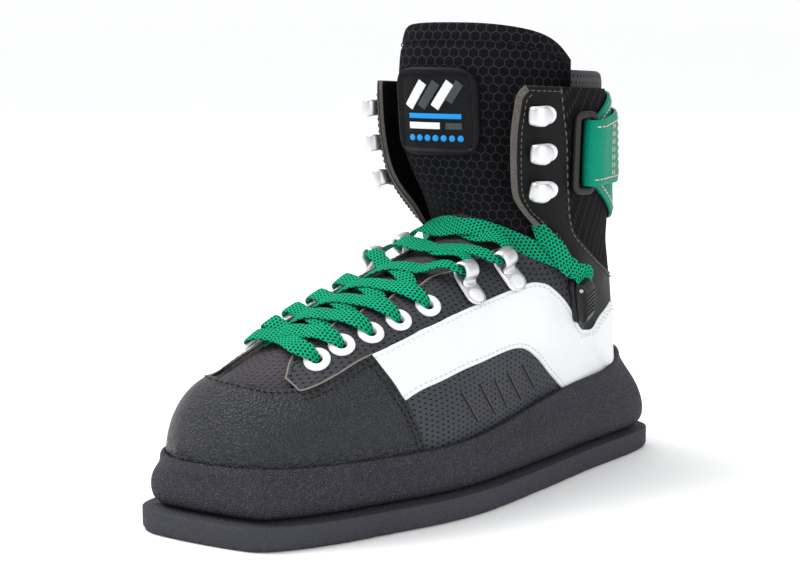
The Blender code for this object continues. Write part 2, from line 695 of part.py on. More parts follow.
hook_seats = {}
for number, (station, height) in enumerate(LACE_HOOKS, 1):
    for hand, outside in (("outside", True), ("inside", False)):
        cell = spot(station, outside, height=height)
        inward = -X_AXIS if outside else X_AXIS
        origin, along, across, normal = seat(cell, inward, 11.0, HOOK_WIDTH / 2)
        hook_seats[number, outside] = (origin, along, across, normal)
        name = f"lace_hook_{hand}_{number}"
        hook = prism(name, hook_outline(), origin, along, normal, across,
                     -HOOK_WIDTH / 2, HOOK_WIDTH / 2)
        rivet = prism("rivet", circle(RIVET_RADIUS, 10), origin - 3.5 * along, along, across, normal,
                      0.4, HOOK_THICK + RIVET_HIGH)
        combine(hook, rivet, "UNION")

# Open hooks on the cuff, three a side, for a strap of lace that is not drawn in
# columns: station, height
CUFF_HOOKS = ((122.5, 191.0), (120.5, 172.5), (118.0, 154.0))
CUFF_HOOK_WIDTH = 9.0
# columns: distance towards the throat, height over the seat
CUFF_HOOK_OUTLINE = ((-6.0, 0.0), (6.5, 0.0), (8.0, 1.5), (8.3, 4.5), (7.0, 6.8), (4.5, 7.8),
                     (0.0, 7.6), (-3.5, 6.4), (-3.5, 5.0), (0.0, 5.8), (4.0, 6.0), (6.0, 4.6),
                     (6.2, 2.6), (5.4, 1.6), (-6.0, 1.6))
for number, (station, height) in enumerate(CUFF_HOOKS, 1):
    for hand, outside in (("outside", True), ("inside", False)):
        cell = spot(station + (-5.0 if outside else 6.0), outside, height=height)
        origin, along, across, normal = seat(cell, TOEWARD, 7.0, CUFF_HOOK_WIDTH / 2)
        prism(f"cuff_hook_{hand}_{number}", CUFF_HOOK_OUTLINE, origin, along, normal, across,
              -CUFF_HOOK_WIDTH / 2, CUFF_HOOK_WIDTH / 2)

# Ankle strap: round the heel, out through a ring on each side and folded back on itself
STRAP_THICK = 2.4
# columns: place round the cuff, height of the middle over the cuff, centre height,
# half height, shift of the top edge along the strap
STRAP_PATH = (
    (0.0, 1.9, 164.0, 36.0, 0.0), (0.25, 1.9, 164.0, 36.0, 0.0), (0.5, 1.9, 164.3, 35.5, 0.0),
    (0.75, 1.9, 164.8, 34.8, 0.0), (1.0, 1.9, 165.5, 33.5, 0.0), (4 / 3, 1.9, 166.8, 30.0, 0.0),
    (5 / 3, 1.9, 168.5, 24.5, -0.02), (2.0, 1.9, 170.3, 18.0, -0.04), (2.11, 1.9, 171.0, 16.5, -0.05),
    (2.205, 1.9, 171.0, 16.5, -0.05), (2.27, 2.4, 171.0, 16.5, -0.05), (2.303, 3.9, 171.0, 16.5, -0.05),
    (2.31, 5.6, 171.0, 16.5, -0.05), (2.303, 7.2, 171.0, 16.5, -0.05), (2.267, 8.6, 171.0, 16.5, -0.05),
    (2.2, 9.2, 171.0, 16.5, -0.05), (2.11, 8.9, 171.0, 16.6, -0.05), (2.0, 7.7, 171.0, 16.8, -0.05),
    (5 / 3, 5.9, 171.0, 17.6, -0.05), (4 / 3, 5.2, 171.0, 18.4, -0.05), (1.0, 5.0, 171.0, 19.2, -0.07),
    (0.8, 5.0, 171.0, 19.5, -0.09), (0.62, 5.0, 171.0, 19.5, -0.12),
)
STRAP_ROWS = (-1.0, -0.33, 0.33, 1.0)


def cuff(u, height):
    """Point and normal of the cuff at a place round it and a height."""
    near = int(np.clip(np.floor(u / FINE_U[1]), 0, len(FINE_U) - 2))
    part = u / FINE_U[1] - near
    column = (1 - part) * FINE[CUFF_FROM:, near] + part * FINE[CUFF_FROM:, near + 1]
    lean = (1 - part) * FINE_NORMALS[CUFF_FROM:, near] + part * FINE_NORMALS[CUFF_FROM:, near + 1]
    point = np.array([np.interp(height, column[:, 2], column[:, k]) for k in range(3)])
    normal = np.array([np.interp(height, column[:, 2], lean[:, k]) for k in range(3)])
    return point, unit(normal)


CUFF_FROM = int(np.argmax(FINE_V >= HEEL_ROW + 1))
strap_columns = []
for outside in (False, True):
    half = []
    for u, lift, middle, half_high, shift in STRAP_PATH:
        line = []
        for row in STRAP_ROWS:
            place_u = max(u + shift * row, 0.0)
            point, normal = cuff(place_u if outside else 8.0 - place_u, middle + row * half_high)
            line.append(point + lift * normal)
        half.append(line)
    strap_columns += half[1:] if outside else half[::-1]
strap_middle = np.array(strap_columns)
strap_lean = np.cross(np.gradient(strap_middle, axis=0), np.gradient(strap_middle, axis=1))
strap_lean /= np.linalg.norm(strap_lean, axis=2, keepdims=True)
sheet("ankle_strap", strap_middle + STRAP_THICK / 2 * strap_lean,
      strap_middle - STRAP_THICK / 2 * strap_lean)

# Strap rings: flat frames, the rear bar lifted over the strap that passes under it
RING_HEIGHT = 171.0
RING_FRONT, RING_REAR = 2.49, 2.165
RING_SHIFT = -0.05
RING_FRONT_LIFT, RING_REAR_LIFT = 0.7, 4.8
RING_LONG, RING_THICK, RING_BAR = 42.0, 3.2, 3.7
RING_CORNER = 3.0


def rounded_box(half_a, half_b, corner, steps):
    """Points round a rectangle with round corners."""
    outline = []
    for quarter, (sign_a, sign_b) in enumerate(((1, 1), (-1, 1), (-1, -1), (1, -1))):
        for k in range(steps):
            t = math.pi / 2 * (quarter + k / (steps - 1))
            outline.append((sign_a * (half_a - corner) + corner * math.cos(t),
                            sign_b * (half_b - corner) + corner * math.sin(t)))
    return outline


for hand, outside in (("outside", True), ("inside", False)):
    corner = {}
    for u, lift in ((RING_FRONT, RING_FRONT_LIFT), (RING_REAR, RING_REAR_LIFT)):
        for d in (-1, 1):
            at = u + RING_SHIFT * d
            point, normal = cuff(at if outside else 8.0 - at, RING_HEIGHT + 17.0 * d)
            corner[u, d] = point + lift * normal
    centre = sum(corner.values()) / 4
    front, rear = ((corner[u, -1] + corner[u, 1]) / 2 for u in (RING_FRONT, RING_REAR))
    rise = corner[RING_REAR, 1] + corner[RING_FRONT, 1] - 2 * centre
    right = unit(rear - front)
    up = unit(rise - right * (rise @ right))
    outward = np.cross(right, up)
    if outward[0] * (1 if outside else -1) < 0:
        outward = -outward
    wide = np.linalg.norm(rear - front)
    outer = rounded_box(wide / 2, RING_LONG / 2, RING_CORNER, 3)
    inner = rounded_box(wide / 2 - RING_BAR, RING_LONG / 2 - RING_BAR, 1.2, 3)
    frame_ring(f"strap_ring_{hand}", centre, right, up, outward,
               ((0.0, inner), (0.0, outer), (RING_THICK, outer), (RING_THICK, inner)))

# Pull loop of webbing at the back of the heel
LOOP_WIDE, LOOP_THICK, LOOP_BULGE = 14.0, 1.8, 7.0
LOOP_LOW, LOOP_HIGH = 84.0, 112.0
back = FINE[CUFF_FROM:, 0]
loop_outline = []
loop_steps = np.linspace(0.0, 1.0, 9)
for rise in (LOOP_THICK, 0.0):
    line = []
    for t in loop_steps:
        height = LOOP_LOW + t * (LOOP_HIGH - LOOP_LOW)
        out = np.interp(height, back[:, 2], back[:, 1]) + 0.5 + rise
        line.append((out + LOOP_BULGE * math.sin(math.pi * t) ** 0.7, height))
    loop_outline += line if rise else line[::-1]
prism("pull_loop", loop_outline, ZERO, Y_AXIS, Z_AXIS, X_AXIS, -LOOP_WIDE / 2, LOOP_WIDE / 2)

# Lace locks: a riveted base with a separate ribbed lever, shown closed
LOCK_STATION, LOCK_HEIGHT = 78.0, 96.0
LOCK_UP = unit((0.0, -0.42, 0.9))
LOCK_LONG, LOCK_WIDE, LOCK_THICK = 28.0, 17.0, 2.2
LOCK_RIVETS = ((-7.0, 4.3), (5.0, 4.3))
LOCK_RIVET_RADIUS, LOCK_RIVET_HIGH = 4.0, 1.6
# columns: distance up the lock, height over its base plate
LEVER_OUTLINE = ((-12.0, 0.4), (11.0, 0.4), (13.5, 2.4), (13.5, 6.0), (9.5, 8.2), (0.0, 7.0),
                 (-9.0, 5.6), (-12.0, 3.4))
LEVER_FROM, LEVER_TO = 0.6, 8.2
lock_tops = {}
for hand, outside in (("outside", True), ("inside", False)):
    cell = spot(LOCK_STATION if outside else LOCK_STATION + 8.0, outside, height=LOCK_HEIGHT)
    origin, along, across, normal = seat(cell, LOCK_UP, LOCK_LONG / 2, LOCK_WIDE / 2)
    rearward = across if across[1] > 0 else -across
    base = prism(f"lock_base_{hand}", rounded_box(LOCK_LONG / 2, LOCK_WIDE / 2, 4.0, 3), origin,
                 along, rearward, normal, 0.0, LOCK_THICK)
    for a, b in LOCK_RIVETS:
        rivet = prism("rivet", circle(LOCK_RIVET_RADIUS, 8), origin + a * along + b * rearward, along,
                      rearward, normal, 0.6, LOCK_THICK + LOCK_RIVET_HIGH)
        combine(base, rivet, "UNION")
    prism(f"lock_lever_{hand}", LEVER_OUTLINE, origin + LOCK_THICK * normal, along, normal, -rearward,
          LEVER_FROM, LEVER_TO)
    lock_tops[outside] = origin + (LOCK_LONG / 2 + 6.0) * along - 3.0 * rearward + 4.0 * normal

# Tongue badge: a raised rounded plate on the front of the tongue
BADGE_SIDE, BADGE_HEIGHT = -5.5, 191.0
BADGE_WIDE, BADGE_TALL, BADGE_THICK = 43.5, 45.0, 2.4
BADGE_ROUND = 0.22
BADGE_GAP = 1.0
BADGE_COLUMNS, BADGE_ROWS = 11, 5
tongue_skin = tongue_grids()[0]
tongue_index = np.arange(tongue_skin.shape[0] * tongue_skin.shape[1]).reshape(tongue_skin.shape[:2])
TONGUE_TREE = BVHTree.FromPolygons([Vector(p) for p in tongue_skin.reshape(-1, 3)],
                                   [[int(k) for k in face] for face in skin_faces(tongue_index)])
badge_back = np.zeros((BADGE_ROWS, BADGE_COLUMNS, 3))
badge_lean = np.zeros_like(badge_back)
for i, b in enumerate(np.linspace(-1.0, 1.0, BADGE_ROWS)):
    for j, a in enumerate(np.linspace(-1.0, 1.0, BADGE_COLUMNS)):
        side = BADGE_SIDE + BADGE_WIDE / 2 * a * math.sqrt(1 - BADGE_ROUND * b ** 4)
        height = BADGE_HEIGHT + BADGE_TALL / 2 * b * math.sqrt(1 - BADGE_ROUND * a ** 4)
        point, normal, _, _ = TONGUE_TREE.ray_cast(Vector((side, -100.0, height)), Vector((0, 1, 0)))
        badge_back[i, j] = point
        badge_lean[i, j] = normal
badge_lean[...] = np.where(badge_lean[..., 1:2] > 0, -badge_lean, badge_lean)
badge_lean = badge_lean.mean(axis=0, keepdims=True) + 0 * badge_lean
badge_lean /= np.linalg.norm(badge_lean, axis=2, keepdims=True)
badge_back = badge_back + BADGE_GAP * badge_lean
sheet("tongue_badge", badge_back + BADGE_THICK * badge_lean, badge_back)

# Lace: flat strands laid over the eyelets and through the closed hooks, joined into one solid
LACE_WIDE, LACE_THICK, LACE_LIFT = 8.0, 1.6, 4.4
LACE_NARROW = 6.4
EYE_WIDE = 4.0


def over(start, stop, count):
    """Points and normals over the outer face between two cells of the fine grid."""
    t = np.linspace(0.0, 1.0, count)[:, None]
    cells = np.rint((1 - t) * np.array(start) + t * np.array(stop)).astype(int)
    normals = FINE_NORMALS[cells[:, 0], cells[:, 1]]
    return FINE[cells[:, 0], cells[:, 1]] + LACE_LIFT * normals, normals


def strand(points, normals, widths):
    """Flat cord through points; widths gives its breadth at each of them."""
    points = np.array(points)
    along = np.gradient(points, axis=0)
    across = np.cross(np.array(normals), along)
    across /= np.linalg.norm(across, axis=1)[:, None]
    rise = np.cross(along, across)
    rise /= np.linalg.norm(rise, axis=1)[:, None]
    rings = []
    for point, side, up, wide in zip(points, across, rise, widths):
        rings.append([point + a * wide / 2 * side + b * LACE_THICK / 2 * up
                      for a, b in ((-1, -1), (1, -1), (1, 1), (-1, 1))])
    return loft("strand", [np.array(ring) for ring in rings])


def eye_points(number, outside):
    """Points just ahead of a hook's eye, in it and just behind it, and their normal."""
    origin, along, across, normal = hook_seats[number, outside]
    ahead = across if across @ TOEWARD > 0 else -across
    centre = origin + EYE_AT[0] * along + EYE_AT[1] * normal
    return [centre + d * ahead for d in (10.0, 0.0, -10.0)], normal


strands = [strand(*over(eyelet_cells[1, True], eyelet_cells[1, False], 5), [LACE_WIDE] * 5)]
last = len(EYELETS)
for outside in (True, False):
    for number in range(1, last):
        path = over(eyelet_cells[number, outside], eyelet_cells[number + 1, not outside], 5)
        strands.append(strand(*path, [LACE_WIDE] * 5))
    first_eye, first_normal = eye_points(1, not outside)
    second_eye, second_normal = eye_points(2, outside)
    throat = spot(LACE_HOOKS[0][0] + 14.0, not outside, side=2.0 + (22.0 if not outside else -22.0))
    points, normals = over(eyelet_cells[last, outside], throat, 4)
    strands.append(strand(np.vstack((points, first_eye[:2])), np.vstack((normals, [first_normal] * 2)),
                          [LACE_WIDE] * 4 + [EYE_WIDE, EYE_WIDE]))
    start = spot(LACE_HOOKS[0][0] - 13.0, not outside, side=2.0 + (20.0 if not outside else -20.0))
    stop = spot(LACE_HOOKS[1][0] + 14.0, outside, side=2.0 + (22.0 if outside else -22.0))
    points, normals = over(start, stop, 4)
    strands.append(strand(np.vstack((first_eye[1:], points, second_eye[:2])),
                          np.vstack(([first_normal] * 2, normals, [second_normal] * 2)),
                          [EYE_WIDE] * 2 + [LACE_WIDE] * 4 + [EYE_WIDE] * 2))
    start = spot(LACE_HOOKS[1][0] - 12.0, outside, side=2.0 + (27.0 if outside else -27.0))
    stop = spot(104.0, not outside, height=121.0)
    points, normals = over(start, stop, 6)
    strands.append(strand(np.vstack((second_eye[1:], points, [lock_tops[not outside]])),
                          np.vstack(([second_normal] * 2, normals, normals[-1:])),
                          [EYE_WIDE] * 2 + [LACE_NARROW] * 7))
lace = strands[0]
lace.name = "lace"
for piece in strands[1:]:
    combine(lace, piece, "UNION")
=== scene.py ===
# %% [markdown]
# # A left shooting shoe
# This lesson dresses a packed shoe in leather, foam, cloth and metal. The solids that carry the
# shape come from the frame. Each step says what a piece is on the real shoe, how it could be made
# in Blender, and why it is made the way it is here. Sizes are in millimetres in the shoe's own
# places: station runs from the heel to the toe, side is positive towards the outside of the foot.

# %% The frame and its units
import json
import math

import bmesh
import bpy
import numpy as np
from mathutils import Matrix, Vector
from mathutils.geometry import delaunay_2d_cdt

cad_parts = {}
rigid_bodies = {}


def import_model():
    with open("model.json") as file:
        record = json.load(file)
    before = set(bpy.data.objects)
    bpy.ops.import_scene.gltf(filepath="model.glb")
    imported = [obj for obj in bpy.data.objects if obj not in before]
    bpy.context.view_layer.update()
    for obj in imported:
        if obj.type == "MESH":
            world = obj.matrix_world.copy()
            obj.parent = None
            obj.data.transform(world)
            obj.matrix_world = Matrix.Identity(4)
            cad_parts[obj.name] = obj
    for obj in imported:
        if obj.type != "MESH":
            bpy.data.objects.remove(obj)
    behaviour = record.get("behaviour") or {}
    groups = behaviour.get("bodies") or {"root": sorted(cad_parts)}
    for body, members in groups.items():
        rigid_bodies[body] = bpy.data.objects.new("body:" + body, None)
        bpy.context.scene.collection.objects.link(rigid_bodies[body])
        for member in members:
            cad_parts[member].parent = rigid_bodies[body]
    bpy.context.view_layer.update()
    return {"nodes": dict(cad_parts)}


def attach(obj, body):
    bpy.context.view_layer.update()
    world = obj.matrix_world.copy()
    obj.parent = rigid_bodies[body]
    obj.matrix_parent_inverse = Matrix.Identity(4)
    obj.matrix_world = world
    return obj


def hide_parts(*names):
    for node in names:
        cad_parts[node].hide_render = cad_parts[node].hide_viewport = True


for old in list(bpy.data.objects):
    bpy.data.objects.remove(old, do_unlink=True)
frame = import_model()
MM = 0.001
SHOE_LENGTH = 300.0
HEEL_Y = SHOE_LENGTH / 2
CENTRE = np.array((0.677, 0.043, 0.0))
X_AXIS, Y_AXIS, Z_AXIS = np.eye(3)
TOEWARD = -Y_AXIS
HANDS = (("outside", True), ("inside", False))
print("nodes in the frame:", len(frame["nodes"]))

# %% [markdown]
# ## The last
# A shoe is drawn on a last, so every panel needs the same curved surface under it. A sculpted mesh
# could serve, but a function is exact everywhere: sections from toe to collar, each a smooth curve,
# are joined by smooth curves along the foot. A place is then a pair (u, v): u goes round a section
# from 0 at the outside edge of the sole over 4 at the top to 8, and v counts the sections.

# %% Sections of the last
WALL = 2.4
GAP = 0.3
FLOOR_HEEL, FLOOR_TOE = 30.0, 22.0
FLOOR_RAMP = (62.0, 180.0)
# columns: plate station, plate side, upper station, upper side
OUTLINE = (
    (0.0, 0.0, 13.5, 0.0), (0.0, 18.0, 15.5, 11.0), (2.5, 30.5, 21.0, 20.5), (12.0, 37.5, 33.0, 28.5),
    (34.0, 42.0, 50.0, 32.5), (60.0, 45.0, 70.0, 34.5), (90.0, 50.0, 96.0, 38.0),
    (122.0, 55.3, 124.0, 43.0), (150.0, 59.5, 150.0, 48.0), (168.0, 60.5, 168.0, 50.5),
    (190.0, 59.0, 190.0, 50.0), (212.0, 54.5, 211.0, 46.5), (235.0, 50.0, 232.0, 41.5),
    (255.0, 44.5, 251.0, 35.5), (271.0, 38.0, 265.0, 29.0), (281.0, 30.5, 275.0, 20.5),
    (287.0, 19.0, 281.5, 11.0), (293.0, 3.0, 287.0, -2.0), (298.0, -14.0, 289.5, -14.0),
    (300.0, -26.0, 288.5, -23.0), (297.0, -35.5, 284.0, -31.0), (286.0, -41.0, 274.0, -37.5),
    (268.0, -45.0, 259.0, -41.5), (245.0, -48.5, 240.0, -44.0), (220.0, -50.0, 218.0, -45.0),
    (195.0, -48.0, 195.0, -43.0), (170.0, -43.0, 170.0, -38.5), (145.0, -38.0, 146.0, -34.0),
    (118.0, -35.5, 120.0, -31.5), (90.0, -36.0, 94.0, -31.0), (60.0, -37.5, 67.0, -31.5),
    (34.0, -38.0, 46.0, -30.0), (12.0, -36.5, 29.0, -25.5), (2.5, -30.5, 19.5, -18.5),
    (0.0, -18.0, 15.0, -10.0),
)
TIP_ROW = 18
# columns: top station, top height, top side, bottom station, bottom height (None: sole),
# outside half width at belly (None: sole outline), middle and shoulder, then the inside's
SECTIONS = (
    (288.6, 42.0, -16.0, 288.6, None, None, -11.5, -13.0, None, -20.5, -19.0),
    (286.0, 52.5, -15.0, 286.0, None, None, 1.0, -4.0, None, -28.0, -24.0),
    (281.0, 62.5, -13.0, 281.0, None, None, 11.0, 3.0, None, -33.5, -27.5),
    (272.0, 71.0, -9.0, 272.0, None, None, 23.0, 13.0, None, -38.0, -30.0),
    (260.0, 75.5, -6.0, 260.0, None, None, 31.5, 21.0, None, -41.0, -31.5),
    (246.0, 82.0, -3.5, 246.0, None, None, 37.5, 27.0, None, -43.0, -33.0),
    (228.0, 92.5, -1.0, 228.0, None, None, 43.0, 33.0, None, -44.0, -34.0),
    (205.0, 101.5, 0.0, 205.0, None, None, 48.0, 37.0, None, -44.0, -34.5),
    (181.0, 109.5, 1.0, 180.0, None, None, 50.0, 39.0, None, -42.0, -35.5),
    (158.0, 116.5, 1.5, 146.0, None, None, 47.5, 40.0, None, -38.5, -36.5),
    (138.0, 122.0, 2.0, 105.0, None, None, 44.0, 41.0, None, -36.5, -37.5),
    (127.0, 126.5, 2.0, 62.0, None, None, 40.5, 42.0, None, -36.0, -38.5),
    (123.5, 129.5, 2.0, 38.0, None, None, 38.0, 42.5, None, -35.0, -39.0),
    (122.0, 132.0, 2.0, 22.5, None, None, 37.0, 43.0, None, -34.5, -39.5),
    (121.5, 134.0, 2.0, 13.5, None, None, 36.5, 43.5, None, -34.5, -40.0),
    (122.5, 137.0, 2.0, 10.5, 46.0, 22.5, 37.0, 44.0, -21.0, -35.0, -41.0),
    (125.0, 140.5, 2.0, 11.5, 62.0, 22.5, 38.5, 45.0, -21.5, -36.5, -42.5),
    (129.0, 145.0, 2.0, 16.0, 82.0, 24.0, 41.0, 46.5, -23.0, -39.0, -44.5),
    (136.0, 151.0, 2.0, 21.5, 105.0, 26.5, 44.0, 48.0, -25.5, -42.5, -46.5),
    (143.0, 160.0, 2.0, 26.0, 132.0, 29.0, 47.0, 49.0, -28.0, -45.5, -48.0),
    (148.0, 177.0, 2.0, 30.5, 165.0, 31.0, 49.0, 50.0, -30.0, -47.5, -49.0),
    (149.0, 207.0, 2.0, 34.5, 201.0, 32.0, 50.0, 51.0, -31.0, -48.5, -50.0),
    (148.5, 224.0, 2.0, 36.5, 220.0, 32.0, 50.0, 51.0, -31.0, -48.5, -50.0),
)
HEIGHTS = (0.0, 0.13, 0.42, 0.80, 1.0)
HEEL_ROW = 14
COLLAR_ROW = 21
CUFF_TURN = 0.10
CUFF_TURN_ROWS = (12.0, 19.0)
WRAP_FROM, WRAP_TO = 60.0, 13.5
print("sections of the last:", len(SECTIONS))


# %% Curves through the sections
def place(station, side, height):
    """Turn station, side and height into the shoe's own x, y and z."""
    return np.array((side, HEEL_Y - station, height))


def ramp(value, low, high):
    """Rise smoothly from 0 at low to 1 at high."""
    t = np.clip((np.asarray(value, float) - low) / (high - low), 0.0, 1.0)
    return t * t * (3 - 2 * t)


def unit(vector):
    """The same direction, or directions, with a length of one."""
    vector = np.asarray(vector, float)
    return vector / np.maximum(np.linalg.norm(vector, axis=-1, keepdims=True), 1e-9)


def floor_height(station):
    """Height of the cup's floor, a straight slope down from the heel to the ball."""
    return np.interp(station, FLOOR_RAMP, (FLOOR_HEEL, FLOOR_TOE))


def spline(knots, points, first=None, last=None):
    """Return a smooth curve through points; first and last fix the slopes at its ends."""
    t = np.asarray(knots, float)
    p = np.asarray(points, float).reshape(len(t), -1)
    step = np.diff(t)
    rise = np.diff(p, axis=0) / step[:, None]
    count = len(t)
    left = np.zeros((count, count))
    right = np.zeros_like(p)
    for i in range(1, count - 1):
        before, after = 1 / step[i - 1], 1 / step[i]
        left[i, i - 1:i + 2] = before, 2 * (before + after), after
        right[i] = 3 * (rise[i - 1] * before + rise[i] * after)
    left[0, :2] = (2, 1) if first is None else (1, 0)
    right[0] = 3 * rise[0] if first is None else first
    left[-1, -2:] = (1, 2) if last is None else (0, 1)
    right[-1] = 3 * rise[-1] if last is None else last
    slope = np.linalg.solve(left, right)

    def at(values):
        q = np.atleast_1d(np.asarray(values, float))
        i = np.clip(np.searchsorted(t, q, side="right") - 1, 0, count - 2)
        h = step[i][:, None]
        f = ((q - t[i]) / step[i])[:, None]
        return ((1 + 2 * f) * (1 - f) ** 2 * p[i] + f * (1 - f) ** 2 * h * slope[i]
                + f * f * (3 - 2 * f) * p[i + 1] + f * f * (f - 1) * h * slope[i + 1])

    return at


def chord_knots(points):
    """Running distance along points."""
    gaps = np.linalg.norm(np.diff(np.asarray(points, float), axis=0), axis=1)
    return np.concatenate(((0.0,), np.cumsum(gaps)))


def mean_knots(rows):
    """Running mean distance from row to row of a grid of points."""
    gaps = np.linalg.norm(np.diff(np.asarray(rows, float), axis=0), axis=2).mean(axis=1)
    return np.concatenate(((0.0,), np.cumsum(gaps)))


def trace(at, knots, table):
    """Read every column of a table at distances between its knots."""
    return np.stack([np.interp(at, knots, column) for column in np.asarray(table).T], axis=-1)


print("curves can be drawn")


# %% Outline of the sole
def ring_by_rows(column, per_row):
    """Sample a closed outline with the same steps between the table's rows."""
    rows = np.array(OUTLINE)[:, column:column + 2]
    lap = 4
    padded = np.vstack((rows[-lap:], rows, rows[:lap + 1]))
    curve = spline(np.arange(-lap, len(rows) + lap + 1), padded)
    return curve(np.arange(0, len(rows), 1 / per_row))


def headings(points, closed=False):
    """Steps along a line of points, or round a closed one."""
    if closed:
        return np.roll(points, -1, axis=0) - np.roll(points, 1, axis=0)
    return np.gradient(points, axis=0)


def offset_ring(ring, distance):
    """Move a closed outline outwards by distance, in the plane of the floor."""
    along = unit(headings(ring, True))
    outward = np.stack((-along[:, 1], along[:, 0]), axis=1)
    return ring + outward * np.asarray(distance).reshape(-1, 1)


LAST_RING = ring_by_rows(2, 8)
TIP = TIP_ROW * 8
OUTSIDE = LAST_RING[:TIP + 1]
INSIDE = np.vstack((LAST_RING[TIP:], LAST_RING[:1]))[::-1]


def outline_side(station, outside):
    """Side of the upper's sole outline at a station."""
    branch = OUTSIDE if outside else INSIDE
    return float(np.interp(station, branch[:, 0], branch[:, 1]))


print("points round the sole:", len(LAST_RING))


# %% Surface of the last
def section_points(number):
    """Corner points of one section, from the outside edge over the top to the inside edge."""
    (top_s, top_z, top_x, low_s, low_z,
     out_belly, out_mid, out_high, in_belly, in_mid, in_high) = SECTIONS[number]
    on_sole = low_z is None
    if on_sole:
        low_z = float(floor_height(low_s)) + GAP
    stations = low_s + np.array(HEIGHTS) * (top_s - low_s)
    heights = low_z + np.array(HEIGHTS) * (top_z - low_z)
    sides = []
    for outside, belly, mid, high in ((True, out_belly, out_mid, out_high),
                                      (False, in_belly, in_mid, in_high)):
        low = outline_side(low_s, outside) if on_sole else 0.0
        if belly is None:
            belly = outline_side(stations[1], outside)
        sides.append((low, belly, mid, high, top_x))
    points = [(stations[k], sides[0][k], heights[k]) for k in (0, 1, 2, 3, 4)]
    points += [(stations[k], sides[1][k], heights[k]) for k in (3, 2, 1, 0)]
    points = np.array(points)
    points[:, 0] -= CUFF_TURN * ramp(number, *CUFF_TURN_ROWS) * points[:, 1]
    return points


def section_curve(number):
    """Smooth curve through one section, with a parameter of 0 to 8 over its nine points."""
    points = section_points(number)
    knots = chord_knots(points)
    low_s, low_z = SECTIONS[number][3:5]
    wrap = 1.0 if low_z is not None else float(ramp(-low_s, -WRAP_FROM, -WRAP_TO))
    across = np.array((0.0, 1.0, 0.0))
    first = (1 - wrap) * unit(points[1] - points[0]) + wrap * across
    last = -(1 - wrap) * unit(points[-2] - points[-1]) + wrap * across
    curve = spline(knots, points, unit(first), unit(last))
    return lambda u: curve(np.interp(u, np.arange(9), knots))


CURVES = [section_curve(number) for number in range(len(SECTIONS))]
ROW_KNOTS = mean_knots([curve(np.linspace(0, 8, 33)) for curve in CURVES])


def upper_surface(u, v):
    """Outer face of the upper on a grid: u round each section, v along the sections."""
    rows = np.array([curve(u) for curve in CURVES])
    stacked = spline(ROW_KNOTS, rows.reshape(len(rows), -1))
    grid = stacked(np.interp(v, np.arange(len(SECTIONS)), ROW_KNOTS)).reshape(len(v), len(u), 3)
    closed = (np.asarray(v) >= HEEL_ROW) & (u[0] == 0.0) & (u[-1] == 8.0)
    grid[closed, 0] = grid[closed, -1] = (grid[closed, 0] + grid[closed, -1]) / 2
    return np.stack((grid[..., 1], HEEL_Y - grid[..., 0], grid[..., 2]), axis=-1)


def grid_normals(grid, closed):
    """Outward normals of a grid; closed marks the rows whose ends meet."""
    du = np.gradient(grid, axis=1)
    du[closed, 0] = du[closed, -1] = grid[closed, 1] - grid[closed, -2]
    normal = np.cross(np.gradient(grid, axis=0), du)
    normal[closed, 0] += normal[closed, -1]
    normal[closed, -1] = normal[closed, 0]
    return unit(normal)


print("curves of the last:", len(CURVES))

# %% [markdown]
# ## The skin, with its creases
# Panels, stitches and eyelets are all laid on one fine grid of the last. Creases go into that grid
# before anything is laid on it, so that leather, thread and metal follow them together. Each crease
# is a soft trough or ridge along a short line between two given places.

# %% The fine grid
FINE_U = np.linspace(0.0, 8.0, 321)
NOSE_V = np.linspace(-1.0, 0.0, 11)[:-1]
BODY_V = np.linspace(0.0, 22.0, 441)
FINE_V = np.concatenate((NOSE_V, BODY_V))
NOSE_BULGE = 1.3
body = upper_surface(FINE_U, BODY_V)
nose_middle = body[0].mean(axis=0)
nose = [nose_middle + (body[0] - nose_middle) * (1 + v) + TOEWARD * NOSE_BULGE * (1 - (1 + v) ** 2)
        for v in NOSE_V]
FINE = np.concatenate((np.array(nose), body))
FINE_CLOSED = FINE_V >= HEEL_ROW


def grid_read(table, row, column):
    """Read a table between its rows and columns."""
    i = np.minimum(row.astype(int), table.shape[0] - 2)
    j = np.minimum(column.astype(int), table.shape[1] - 2)
    f, g = (row - i)[:, None], (column - j)[:, None]
    return ((1 - f) * (1 - g) * table[i, j] + (1 - f) * g * table[i, j + 1]
            + f * (1 - g) * table[i + 1, j] + f * g * table[i + 1, j + 1])


def bilinear(table, places):
    """Read a table on the fine grid at places (u, v)."""
    places = np.atleast_2d(np.asarray(places, float))
    return grid_read(table, np.interp(places[:, 1], FINE_V, np.arange(len(FINE_V))),
                     np.interp(places[:, 0], FINE_U, np.arange(len(FINE_U))))


def running_lengths(grid):
    """Lengths over a grid in centimetres, along its rows from their middle and along its columns."""
    rows, columns = grid.shape[:2]
    by_row = np.linalg.norm(np.diff(grid, axis=1), axis=2).cumsum(axis=1) / 10
    by_row = np.concatenate((np.zeros((rows, 1)), by_row), axis=1)
    by_column = np.linalg.norm(np.diff(grid, axis=0), axis=2).cumsum(axis=0) / 10
    by_column = np.concatenate((np.zeros((1, columns)), by_column))
    return np.stack((by_row - by_row[:, columns // 2][:, None], by_column), axis=-1)


